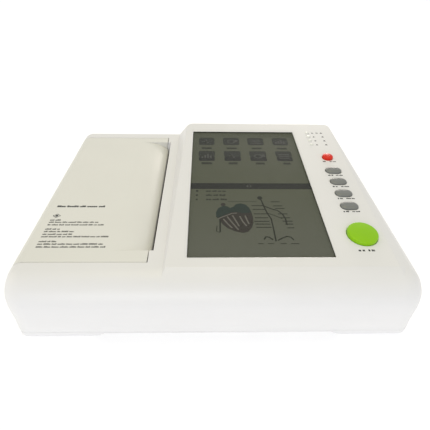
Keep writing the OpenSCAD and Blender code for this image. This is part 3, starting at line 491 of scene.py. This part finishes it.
def trough_curve(shift, n=24):
    steps = [math.radians(90 * i / n) for i in range(n + 1)]
    return [
        (TROUGH_X0 + (DOOR_X1 - TROUGH_X0 - shift) * math.sin(a),
         TOP_Z - shift - TROUGH_DROP * (1 - math.cos(a)))
        for a in steps
    ]


def stadium(cx, cy, w, d, n=14):
    r = d / 2
    return arc(cx + w / 2 - r, cy, r, -90, 90, n) + arc(cx - w / 2 + r, cy, r, 90, 270, n)


def broken_edge(at, side, low, high, width, z=TOP_Z):
    """A cutter that breaks a top edge running along X, on one side of it."""
    return prism([(at, z + 0.02), (at - side, z + 0.02), (at - side, z - 0.8 * width - 0.5),
                  (at, z - 0.8 * width), (at + side * width, z)], "x", low, high)


def build_upper():
    shell = envelope(0, PARTING_Z + GAP)
    block = keep(raised_block(0), box((CREASE_X, 193), (-150, 150), (66, 130)))
    join(shell, block)
    cut(shell, envelope(WALL), raised_block(WALL))
    cut(shell, box((-200, DOOR_X1 - 0.7), BAY, (70, 90)))
    cut(shell, box((-63, SLOT_X), TROUGH, (60, 87)))
    walls = box((-187, -45.5), (BAY[0] - 2.4, BAY[0]), (19.3, TOP_Z))
    join(walls, box((-187, -45.5), (BAY[1], BAY[1] + 2.4), (19.3, TOP_Z)),
         bar_y(ROLL_L, HINGE_BOSS_R, BAY[0] - 10, BAY[0]),
         bar_y(ROLL_L, HINGE_BOSS_R, BAY[1], BAY[1] + 10),
         *[post(p, POST_R, 30, 84) for p in CASE_POSTS])
    inside = join(envelope(1.2), raised_block(1.2))
    join(shell, keep(walls, inside))
    inner_x = SLOT_X + WALL
    join(shell, prism([(SLOT_X, 67), (inner_x, 67), (inner_x, TOP_Z - WALL), (-45.5, TOP_Z - WALL),
                       (-45.5, TOP_Z - 0.4), (SLOT_X + 0.5, TOP_Z - 0.4), (SLOT_X, TOP_Z - 0.9)],
                      "y", TROUGH[0] - 2, TROUGH[1] + 2))
    for y0, y1 in ((TROUGH[0] - 2, TROUGH[0] - GAP), (TROUGH[1] + GAP, TROUGH[1] + 2)):
        join(shell, box((-61.4, SLOT_X + 1), (y0, y1), (67, TOP_Z - 0.2)),
             box((-63.3, SLOT_X + 1), (y0, y1), (67, TOP_Z - WALL - 0.4)))
    frames = join(box((6, 166), (REAR_Y - WALL, HALF_D), (22, 62)),
                  box((181.6, HALF_W), (-32, 32), (34, 66)))
    join(shell, keep(frames, envelope(1)))
    cut(shell, bar_y(ROLL_L, ROLL_L_R + 0.4, BAY[0], BAY[1], 64))
    cut(shell, bar_y(ROLL_L, HINGE_PIN_R, -132, 144))
    cut(shell, *[post(p, POST_R + GAP, 10, 30) for p in CASE_POSTS],
        *[post(p, PILOT_R, 25, 60) for p in CASE_POSTS])
    # display window: opening, chamfered rim and lens seat
    w, d = WINDOW_W / 2, WINDOW_L / 2

    def frame_ring(grow_x, grow_y, z, r=0.6):
        cx, cy = WINDOW
        return [(x, y, z) for x, y in rounded(cx - w - grow_x, cx + w + grow_x,
                                              cy - d - grow_y, cy + d + grow_y, r, 4)]

    cut(shell, loft([frame_ring(0, 0, -8), frame_ring(0, 0, LENS_Z), frame_ring(2.6, 2.6, 0, 2.0),
                     frame_ring(2.6, 2.6, 2, 2.0)], PANEL))
    cut(shell, loft([frame_ring(3, 3, -8), frame_ring(3, 3, LENS_Z)], PANEL))
    for x, y, outline in (
        [(KEY_X, POWER_Y, circle(KEY_X, POWER_Y, POWER_R + GAP)),
         (KEY_X, START_Y, circle(KEY_X, START_Y, START_R + GAP, 72))]
        + [(KEY_X, y, stadium(KEY_X, y, KEY_W + 2 * GAP, KEY_D + 2 * GAP)) for y in KEY_YS]
        + [(LED_X, y, circle(LED_X, y, 1.6, 24)) for y in LED_YS]
    ):
        # each opening ends in a small countersink at the panel's face
        def sized(k, z):
            return [(x + (px - x) * k, y + (py - y) * k, z) for px, py in outline]
        big = 1.0 + 0.35 / (max(abs(px - x) for px, _ in outline))
        cut(shell, loft([sized(1, -8), sized(1, -0.35), sized(big, 0), sized(big, 3)], PANEL))
    cut(shell, box((8, 164), (140.35, 149), (24, 60)), box((10, 162), (136, HALF_D), (26, 58)))
    cut(shell, box((182.6, 193), (-30, 30), (36, 64)), box((178, HALF_W), (-28, 28), (38, 62)))
    # broken edges along the door's gaps
    cut(shell, broken_edge(BAY[0], -1, -172, DOOR_X1 - 0.7, 0.4),
        broken_edge(BAY[1], 1, -172, DOOR_X1 - 0.7, 0.4))
    return shell


def on_skid(p):
    """Whether a case screw stands over a skid, and not over the tunnel."""
    return p[0] < SKID_X[0] or p[0] > SKID_X[1]


def build_lower():
    def tunnel(t):
        """Section of the tunnel under the case, grown by t."""
        return [(SKID_X[0] - 1.3 * t, -1), (SKID_X[1] + 1.3 * t, -1), (112 + 0.45 * t, TUNNEL_Z + t),
                (-107 - 0.45 * t, TUNNEL_Z + t)]

    shell = envelope(0, 0.8, PARTING_Z)
    hollow = cut(envelope(WALL, None, 30), prism(tunnel(WALL), "y", -150, 150))
    cut(shell, hollow)
    lip = cut(envelope(WALL + 0.2, PARTING_Z - 2, PARTING_Z + 3), envelope(WALL + 1.8, 8, 30))
    join(shell, lip)
    join(shell, box((29.2, 120.8), (-75.8, 5.8), (TUNNEL_Z + 1, 37)))
    posts = [post(p, POST_R, 1.5 if on_skid(p) else 13, 29.7) for p in CASE_POSTS]
    body = posts[0]
    join(body, *posts[1:])
    join(shell, keep(body, envelope(1)))
    cut(shell, prism(tunnel(0), "y", -150, 150))
    cut(shell, box(COVER_X, COVER_Y, (0, 38)), box((30.2, 119.8), (-74.8, 4.8), (0, TUNNEL_Z + 1.3)))
    cut(shell, *[post(p, PILOT_R, 0, 20) for p in COVER_SCREWS],
        *[post(p, FOOT_PAD_R, 0, 2) for p in FEET])
    for p in CASE_POSTS:
        cut(shell, post(p, SHANK_R, 0, 40), post(p, COUNTERBORE_R, 0, 8 if on_skid(p) else 17))
    cut(shell, *[post((160 + 6 * i, 6 * j), 1.6, 0, 5, n=20) for i in (-1, 0, 1) for j in (-1, 0, 1)])
    return shell


def build_door():
    roll = arc(ROLL_L[0], ROLL_L[1], ROLL_L_R, 195, 90, 30)
    roll_in = arc(ROLL_L[0], ROLL_L[1], ROLL_L_R - WALL, 90, 195, 30)
    skin = prism(roll + [(TROUGH_X0, TOP_Z), (TROUGH_X0, TOP_Z - WALL)] + roll_in,
                 "y", DOOR[0], DOOR[1])
    inner = trough_curve(WALL)
    curve = ([(TROUGH_X0 - 0.5, TOP_Z)] + trough_curve(0)
             + inner[::-1] + [(TROUGH_X0 - 0.5, TOP_Z - WALL)])
    join(skin, prism(curve, "y", TROUGH[0], TROUGH[1]))
    for y0, y1 in ((DOOR[0], TROUGH[0]), (TROUGH[1], DOOR[1])):
        join(skin, box((TROUGH_X0 - 4, DOOR_X1 - 1.5), (y0, y1), (TOP_Z - WALL, TOP_Z)))
    cut(skin, box((LIP_X, -50), (TROUGH[0], TROUGH[1]), (60, 90)))
    for y in (TROUGH[0] - 2, TROUGH[1]):
        join(skin, prism(inner + [(DOOR_X1 - WALL, TOP_Z), (TROUGH_X0, TOP_Z)], "y", y, y + 2))
    for y0, y1 in ((DOOR[0], DOOR[0] + 11), (DOOR[1] - 11, DOOR[1])):
        join(skin, bar_y(ROLL_L, HINGE_BOSS_R, y0, y1),
             box((ROLL_L[0] - 2, ROLL_L[0] + 10), (y0, y1), (ROLL_L[1], TOP_Z - 1)))
    for y in (-60, 6.5, 73):
        join(skin, prism([(ROLL_L[0] + 6, 85), (ROLL_L[0] + 10, 79), (-101, 79), (TROUGH_X0, 85)],
                         "y", y - 1, y + 1))
    join(skin, box((-165, -105), (DOOR[0], DOOR[0] + 2), (78, 85)),
         box((-165, -105), (DOOR[1] - 2, DOOR[1]), (78, 85)))
    cut(skin, bar_y(ROLL_L, HINGE_PIN_R + 0.06, DOOR[0] - 1, DOOR[1] + 1))
    cut(skin, broken_edge(DOOR[0], 1, -172, -60, 1.0), broken_edge(DOOR[1], -1, -172, -60, 1.0))
    return skin


finish_piece(build_upper(), "upper_shell", "root", case.mat, ["upper_housing"])
finish_piece(build_lower(), "lower_shell", "root", case.mat, ["lower_housing"])
finish_piece(build_door(), "door_shell", "door", door_plastic.mat, ["printer_door"])


# ---------- keys ----------

def key_rings(outline, cx, cy, steps):
    """Rings of a key: each step is how far in the outline is drawn, and its height."""
    rings = []
    for shrink, z in steps:
        r = max(math.hypot(px - cx, py - cy) for px, py in outline)
        moved = inward(outline, shrink) if shrink < 4 else [
            (cx + (px - cx) * (1 - shrink / r), cy + (py - cy) * (1 - shrink / r)) for px, py in outline]
        rings.append([(x, y, z) for x, y in moved])
    return rings


def dome_steps(height, crown, fillet, reach):
    """A plunger side, a rounded shoulder and a slightly domed face."""
    steps = [(0, -4.2), (0, height - crown - fillet)]
    for i in range(1, 7):
        a = math.radians(80 * i / 6)
        steps.append((fillet * (1 - math.cos(a)), height - crown - fillet + fillet * math.sin(a)))
    base, start = steps[-1]
    for i in range(1, 7):
        u = i / 6
        steps.append((base + (reach - base) * u, start + (height - start) * (1 - (1 - u) ** 2)))
    return steps


def build_key(outline, cx, cy, height, crown, fillet, reach):
    """A key's cap with its flange and plunger, on the sloping panel."""
    cap = loft(key_rings(outline, cx, cy, dome_steps(height, crown, fillet, reach)), PANEL)
    wide = [(x, y) for x, y in inward(outline, -1.1)]
    join(cap, prism(wide, "z", -4.2, -3.0, PANEL), post((cx, cy), 2.4, -4.6, -3.6, PANEL))
    return cap


power = build_key(circle(KEY_X, POWER_Y, POWER_R), KEY_X, POWER_Y, POWER_TOP, 0.7, 1.1, 5.0)
finish_piece(power, "power_key_cap", "power_key", key_red.mat, ["power_button"])
start = build_key(circle(KEY_X, START_Y, START_R, 72), KEY_X, START_Y, START_TOP, 0.8, 1.5, 12.0)
finish_piece(start, "start_key_cap", "start_key", key_green.mat, ["start_button"])
for number, key_y in enumerate(KEY_YS, 1):
    outline = stadium(KEY_X, key_y, KEY_W, KEY_D)
    cap = build_key(outline, KEY_X, key_y, KEY_TOP, 0.9, 0.8, 3.8)
    finish_piece(cap, f"function_key_cap_{number}", f"key_{number}", key_grey.mat,
                 [f"function_key_{number}"])

# domed ends of the light pipes
LAMP_R, LAMP_FOOT_Z, LAMP_RISE = 2.3, 0.35, 0.9
lamps = None
for y in LED_YS:
    steps = [(LAMP_R, -0.4), (LAMP_R, LAMP_FOOT_Z)] + [
        (LAMP_R * math.cos(math.radians(a)), LAMP_FOOT_Z + LAMP_RISE * math.sin(math.radians(a)))
        for a in (25, 50, 75)]
    dome = loft([[(x, v, z) for x, v in circle(LED_X - 1.2, y, r, 28)] for r, z in steps], PANEL)
    lamps = dome if lamps is None else join(lamps, dome)
finish_piece(lamps, "lamp_domes", "root", pipe.mat)


# ---------- printed marks and the display's picture ----------

class Marks:
    """Flat printed shapes in one colour, each a thin closed slab on a face."""

    def __init__(self, z0, z1, matrix=None):
        self.bm, self.z, self.matrix = bmesh.new(), (z0, z1), matrix

    def shape(self, outline):
        add_rings(self.bm, [[(x, y, z) for x, y in outline] for z in self.z])

    def bar(self, x0, x1, y0, y1):
        self.shape([(x0, y0), (x1, y0), (x1, y1), (x0, y1)])

    def stroke(self, points, width):
        """A line of constant width along a path, one closed slab for each of its steps."""
        left, right = [], []
        for i, p in enumerate(points):
            a, b = points[max(i - 1, 0)], points[min(i + 1, len(points) - 1)]
            d = Vector((b[0] - a[0], b[1] - a[1])).normalized() * width / 2
            left.append((p[0] - d.y, p[1] + d.x))
            right.append((p[0] + d.y, p[1] - d.x))
        for i in range(len(points) - 1):
            self.shape([right[i], right[i + 1], left[i + 1], left[i]])

    def ring(self, cx, cy, r, width, a0=0, a1=359.9, n=28):
        self.stroke(arc(cx, cy, r, a0, a1, n), width)

    def words(self, x0, x1, y, height, rng, longest=9.0):
        """Greeked writing: a row of word-like bars with small breaks."""
        x = x0
        while x < x1 - height:
            w = min(rng.uniform(0.35, 1.0) * longest, x1 - x)
            letters = max(1, round(w / (height * 0.75)))
            step = w / letters
            for i in range(letters):
                tall = height * rng.choice((0.72, 0.76, 0.92, 1.0))
                self.bar(x + i * step, x + (i + 0.9) * step, y, y + tall)
            x += w + height * 0.45

    def done(self, name, body, surface, slot):
        if self.matrix is not None:
            self.bm.transform(Matrix.Scale(MM, 4) @ self.matrix @ Matrix.Scale(1 / MM, 4))
        return finish_piece(to_object(self.bm), name, body, surface.mat)


rng = random.Random(11)

# The door's printed block, greeked. The places and lengths of its rows follow the photograph.
notice = Marks(TOP_Z - PRINT_LIFT, TOP_Z + PRINT_LIFT)
title = Marks(TOP_Z - PRINT_LIFT, TOP_Z + PRINT_LIFT)
title.words(-167, -114.3, -35.3, 3.0, rng, 14)
for y, x1 in ((-56.8, -153.3), (-60.2, -116.8), (-64.3, -111.5), (-70.8, -152.8), (-74.5, -136.6),
              (-78.5, -138.4), (-82.0, -102.9), (-88.8, -150.5), (-92.4, -105.3), (-96.3, -102.9)):
    notice.words(-167, x1, y - 1.0, 2.1, rng, 8)
title.stroke([(-166.3, -49.9), (-162.5, -47.0), (-158.7, -49.9), (-162.5, -52.8), (-166.0, -50.1)], 0.8)
title.shape(circle(-162.5, -49.9, 1.5, 20))
title.done("door_title_marks", "door", ink, "case_plastic")
notice.done("door_notice_marks", "door", ink_soft, "case_plastic")

# marks beside the lamps and under the keys
legends = Marks(-PRINT_LIFT, PRINT_LIFT, PANEL)
icons = Marks(-PRINT_LIFT, PRINT_LIFT, PANEL)
for row, y in enumerate(LED_YS):
    icons.shape([(133.4, y - 1.2), (136.6, y - 1.2), (135.0, y + 1.5)])
    if row == 0:
        icons.ring(141.2, y, 1.1, 0.7)
    icons.bar(145.6, 148.6, y - 1.2, y - 0.2)
    icons.bar(146.2, 148.0, y - 0.2, y + 1.3)
for x0, x1, y in ((133.2, 139.0, 166.2), (141.5, 150.4, 166.2)):
    legends.words(x0, x1, y - 1.2, 2.0, rng, 5)
for y in LEGEND_YS:
    legends.words(132.4, 139.2, y - 1.1, 2.3, rng, 3.2)
    legends.words(141.6, 150.8, y - 0.9, 1.9, rng, 6)
legends.words(131.0, 139.0, 18.6, 2.7, rng, 3.6)
legends.words(140.2, 149.2, 18.6, 2.3, rng, 5)
icons.done("lamp_marks", "root", ink, "case_plastic")
legends.done("key_legend_marks", "root", ink, "case_plastic")

# a generic on/off sign on the power key
sign = Marks(POWER_TOP - 0.09, POWER_TOP + PRINT_LIFT, PANEL)
sign.ring(KEY_X, POWER_Y, 2.0, 0.5, 120, 420)
sign.bar(KEY_X - 0.25, KEY_X + 0.25, POWER_Y + 0.4, POWER_Y + 2.7)
sign.done("power_sign", "power_key", key_sign, "key_red")


# the display's picture, in thin layers between the panel and the lens
FACE_Z = -3.2
WX, WY = WINDOW
LAYER = 0.022


def layer(step):
    low = FACE_Z + LAYER * step
    return Marks(low, low + LAYER, PANEL)


def shifted(points):
    """Points given from the middle of the window's width."""
    return [(WX + x, y) for x, y in points]


face = layer(0)
face.bar(WX - WINDOW_W / 2 - 2, WX + WINDOW_W / 2 + 2, WY - WINDOW_L / 2 - 2, WY + WINDOW_L / 2 + 2)
face.done("display_face", "root", lcd, "lcd_panel")

tiles, tile_low, tile_art, captions = layer(1), layer(1), layer(2), layer(1)
TILE_X = ((-59.7, -39.2), (-27.9, -6.6), (4.3, 25.6), (37.4, 57.8))
for i, (x0, x1) in enumerate(TILE_X):
    x0, x1 = WX + x0, WX + x1
    middle = (x0 + x1) / 2
    tiles.shape(rounded(x0, x1, 208.0, 226.5, 3.5))
    tiles.shape(rounded(x0, x1, 181.0, 193.5, 2.5))
    tile_low.shape(rounded(x0 + 0.4, x1 - 0.4, 171.0, 181.0, 2.0))
    captions.bar(middle - 6.5, middle + 6.5, 198.2, 202.2)
    captions.bar(middle - 6.5 + i, middle + 6.5 - i % 2, 163.6, 168.0)
    for y, kind in ((217, i), (182, i + 3)):
        if kind % 4 == 0:
            tile_art.stroke([(middle - 7, y), (middle - 3, y), (middle - 1, y + 5.5),
                             (middle + 1.5, y - 5), (middle + 3.2, y), (middle + 7, y)], 1.1)
        elif kind % 4 == 1:
            tile_art.ring(middle, y, 4.4, 1.4)
            tile_art.bar(middle + 5.2, middle + 8.2, y - 1, y + 4)
        elif kind % 4 == 2:
            for k in range(3):
                tile_art.bar(middle - 6.5, middle + 6.5, y - 5 + 4 * k, y - 3.4 + 4 * k)
        else:
            for k, h in enumerate((4, 7, 10, 6)):
                tile_art.bar(middle - 6.6 + 3.5 * k, middle - 4.4 + 3.5 * k, y - 5, y - 5 + h)
tile_low.bar(WX - WINDOW_W / 2 - 1, WX + WINDOW_W / 2 + 1, 115.0, 125.8)
tiles.done("display_tiles", "root", lcd_inks["dark"], "lcd_panel")
tile_low.done("display_tiles_low", "root", lcd_inks["darkest"], "lcd_panel")
tile_art.done("display_tile_art", "root", lcd_inks["light"], "lcd_panel")
bar_text = layer(2)
bar_text.words(WX - 4.6, WX + 5, 118.6, 3.4, rng, 4)
bar_text.done("display_bar_text", "root", lcd_inks["light"], "lcd_panel")
for y in (109.9, 102.7, 95.5):
    captions.words(WX - 61.5, WX - 55.6, y, 3.2, rng, 3)
    captions.words(WX - 50.4, WX - 27.8, y, 3.0, rng, 8)
captions.done("display_captions", "root", lcd_inks["mid"], "lcd_panel")

# A heart, with its upper chambers in a second tint. Its outlines and streaks were read off the
# picture on the photographed display, so they aren't a design of our own. A generic heart
# should replace them.
HEART = [
    (-32.4, 86.4), (-37.7, 82.4), (-40.4, 75.5), (-40.1, 68.8), (-36.6, 64.2), (-33.7, 57.7),
    (-29.1, 52.4), (-22.4, 48.2), (-14.4, 45.7), (-9.1, 47.5), (-5.1, 53.0), (-2.8, 60.4),
    (-2.5, 68.4), (-3.4, 76.0), (-4.9, 82.4), (-8.4, 88.2), (-13.7, 90.4), (-18.6, 89.0),
    (-21.7, 84.8), (-25.1, 82.8), (-28.4, 85.6),
]
CHAMBERS = [
    (-32.4, 86.4), (-37.7, 82.4), (-40.4, 75.5), (-40.1, 68.8), (-37.6, 67.2), (-33.6, 70.6),
    (-29.0, 73.4), (-24.0, 76.0), (-18.6, 76.6), (-13.0, 74.6), (-8.0, 74.8), (-3.4, 76.0),
    (-4.9, 82.4), (-8.4, 88.2),
    (-13.7, 90.4), (-18.6, 89.0), (-21.7, 84.8), (-25.1, 82.8), (-28.4, 85.6),
]
heart, chambers, muscle, tree = layer(1), layer(2), layer(3), layer(1)
heart.shape(shifted(HEART)[::-1])
heart.shape([(x, y) for x, y in circle(WX - 32.4, 88.4, 2.6, 20)])
heart.done("display_heart", "root", lcd_inks["brown"], "lcd_panel")
chambers.shape(shifted(CHAMBERS)[::-1])
chambers.done("display_heart_top", "root", lcd_inks["teal"], "lcd_panel")
for points in ([(-33.0, 66.0), (-29.0, 59.0), (-24.5, 52.5)],
               [(-29.0, 69.5), (-24.0, 60.0), (-18.5, 50.0)],
               [(-23.5, 71.5), (-20.0, 62.0), (-17.5, 55.0)],
               [(-16.0, 70.0), (-13.5, 62.0), (-10.0, 55.5)],
               [(-10.5, 71.0), (-9.0, 64.0), (-7.5, 58.5)]):
    muscle.stroke(shifted(points), 1.5)
muscle.stroke(shifted([(-38.5, 65.8), (-33.5, 69.0), (-28.5, 71.6), (-23.8, 74.2), (-18.6, 74.8)]), 1.2)
muscle.done("display_heart_lines", "root", lcd_inks["pale"], "lcd_panel")

# a branching diagram with leader lines, whose course was read off the same picture
tree.stroke(shifted([(-36.2, 65.0), (-36.6, 47.0)]), 1.6)
tree.stroke(shifted([(-39.6, 56.0), (-40.2, 48.0), (-36.8, 46.4)]), 0.9)
tree.stroke(shifted([(5.5, 99.0), (9.0, 95.5), (10.5, 86.0), (12.8, 75.0), (15.8, 66.0), (16.2, 50.0),
                     (16.2, 34.5)]), 1.5)
tree.shape([(x, y) for x, y in circle(WX + 7.8, 99.5, 2.8, 20)])
tree.stroke(shifted([(10.5, 86.0), (18.0, 81.5), (24.0, 79.0), (28.5, 73.0), (30.4, 66.0),
                     (30.6, 57.0)]), 1.5)
tree.stroke(shifted([(12.8, 75.0), (20.0, 71.0), (27.0, 66.5)]), 0.9)
tree.stroke(shifted([(5.0, 37.0), (7.4, 40.6), (10.4, 40.0), (13.6, 36.4)]), 1.6)
tree.stroke(shifted([(18.0, 35.6), (23.0, 38.8), (27.6, 41.0), (31.4, 40.0), (33.6, 36.2)]), 1.4)
for k, y in enumerate((86.0, 80.0, 73.0, 67.0, 61.7, 57.7, 53.0)):
    tree.bar(WX - 2.4 + (0.6 * k) % 1.8, WX + 11.5 + 0.5 * k, y, y + 1.2)
for k, y in enumerate((92.4, 85.7, 81.6, 73.0, 67.0, 62.0, 57.7, 52.3)):
    tree.bar(WX + 19.0 + 1.6 * k, WX + 28.5 + 1.7 * min(k, 5), y, y + 1.2)
tree.bar(WX - 27.0, WX + 3.5, 93.1, 93.6)
for x0, x1 in ((-1, 4), (8, 14), (20, 26), (30, 38)):
    tree.bar(WX + x0, WX + x1, 31.0, 31.9)
tree.done("display_diagram", "root", lcd_inks["ink"], "lcd_panel")


# ---------- finishes of the carried-over nodes ----------

# every node except the three housings, which the shells above replace

FINISH = {
    case: ["battery_cover"],
    tray_plastic: ["paper_tray", "rear_panel", "port_panel"],
    rubber: ["rubber_feet", "platen_rubber"],
    steel: ["case_screws", "battery_cover_screws", "tear_bar", "head_springs", "hinge_pins",
            "port_jackscrews", "panel_screws", "board_screws", "platen_shaft", "equipotential_post"],
    sheet: ["printer_chassis", "front_end_shield", "lcd_bracket", "platen_brackets"],
    wrap: ["battery_pack"],
    motor: ["stepper_motor"],
    black: ["paper_sensor", "mains_inlet", "mains_switch_body", "fuse_caps", "key_switches",
            "speaker", "mains_rocker"],
    board: ["main_board", "input_board", "psu_board", "keypad_board"],
    chips: ["main_board_components"],
    windings: ["psu_components"],
    brass: ["inlet_contacts", "motor_pinion"],
    nickel: ["patient_port", "usb_ports", "lan_port"],
    glass: ["display_lens"],
    lcd: ["lcd_module"],
    pipe: ["light_pipes"],
    film: ["display_cable"],
    bronze: ["platen_bushes"],
    nylon: ["platen_gear", "idler_gear"],
    glaze: ["print_head"],
    alloy: ["head_heatsink"],
    paper: ["paper_roll"],
    core: ["paper_core"],
    key_red: ["power_button"],
    key_grey: [f"function_key_{i}" for i in (1, 2, 3, 4)],
    key_green: ["start_button"],
}
for surface, names in FINISH.items():
    for node_name in names:
        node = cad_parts[node_name]
        for i in range(len(node.material_slots)):
            node.material_slots[i].material = surface.mat


# ---------- floor, light and camera ----------

floor_bm = bmesh.new()
bmesh.ops.create_grid(floor_bm, x_segments=2, y_segments=2, size=16.0)
floor = to_object(floor_bm, "floor")
floor.name = "floor"
floor_mat = Surface("floor_white", (190, 190, 190), rough=0.9, vary=0.004, cloud=2, bump=0.0)
floor_mat.shader.inputs["Emission Color"].default_value = (1, 1, 1, 1)
floor_mat.shader.inputs["Emission Strength"].default_value = 0.59
floor.data.materials.append(floor_mat.mat)

world = bpy.data.worlds.new("studio")
bpy.context.scene.world = world
world.use_nodes = True
world.node_tree.nodes["Background"].inputs["Color"].default_value = (0.95, 0.965, 1.0, 1.0)
world.node_tree.nodes["Background"].inputs["Strength"].default_value = 0.74


LIGHT_TARGET = Vector((0, 0, 0.05))


def area_light(name, location, size, energy, color):
    data = bpy.data.lights.new(name, "AREA")
    data.shape, data.size, data.energy, data.color = "DISK", size, energy, color
    lamp = bpy.data.objects.new(name, data)
    bpy.context.scene.collection.objects.link(lamp)
    lamp.location = location
    lamp.rotation_euler = (LIGHT_TARGET - Vector(location)).to_track_quat("-Z", "Y").to_euler()


area_light("front_soft", (-0.3, -2.0, 0.4), 1.3, 9.4, (0.97, 0.98, 1.0))
area_light("top_soft", (0.0, 0.2, 2.0), 1.5, 8.5, (1.0, 0.89, 0.35))
area_light("back_soft", (0.6, 2.3, 0.35), 1.0, 20.0, (1.0, 0.9, 0.84))
area_light("left_soft", (-2.0, 0.0, 0.8), 1.3, 3.0, (1.0, 0.82, 0.4))

scene = bpy.context.scene
scene.view_settings.view_transform = "Standard"

SENSOR_MM, FOCAL_PX, FRAME_PX = 36.0, 361.417, 430
EYE = (-0.0099, -0.3434, 0.3194)
pitch, yaw, roll_angle = (math.radians(v) for v in (38.332, -1.901, -1.235))
forward = Vector((-math.sin(yaw) * math.cos(pitch), math.cos(yaw) * math.cos(pitch),
                  -math.sin(pitch)))
across = Vector((math.cos(yaw), math.sin(yaw), 0))
down = forward.cross(across)
right_axis = math.cos(roll_angle) * across + math.sin(roll_angle) * down
up_axis = -(-math.sin(roll_angle) * across + math.cos(roll_angle) * down)
camera_data = bpy.data.cameras.new("camera")
camera_data.sensor_width = SENSOR_MM
camera_data.lens = SENSOR_MM * FOCAL_PX / FRAME_PX
camera_data.clip_start = 0.02
camera_data.clip_end = 40
camera = bpy.data.objects.new("camera", camera_data)
scene.collection.objects.link(camera)
axes = Matrix((right_axis, up_axis, -forward)).transposed().to_4x4()
camera.matrix_world = Matrix.Translation(EYE) @ axes
scene.camera = camera
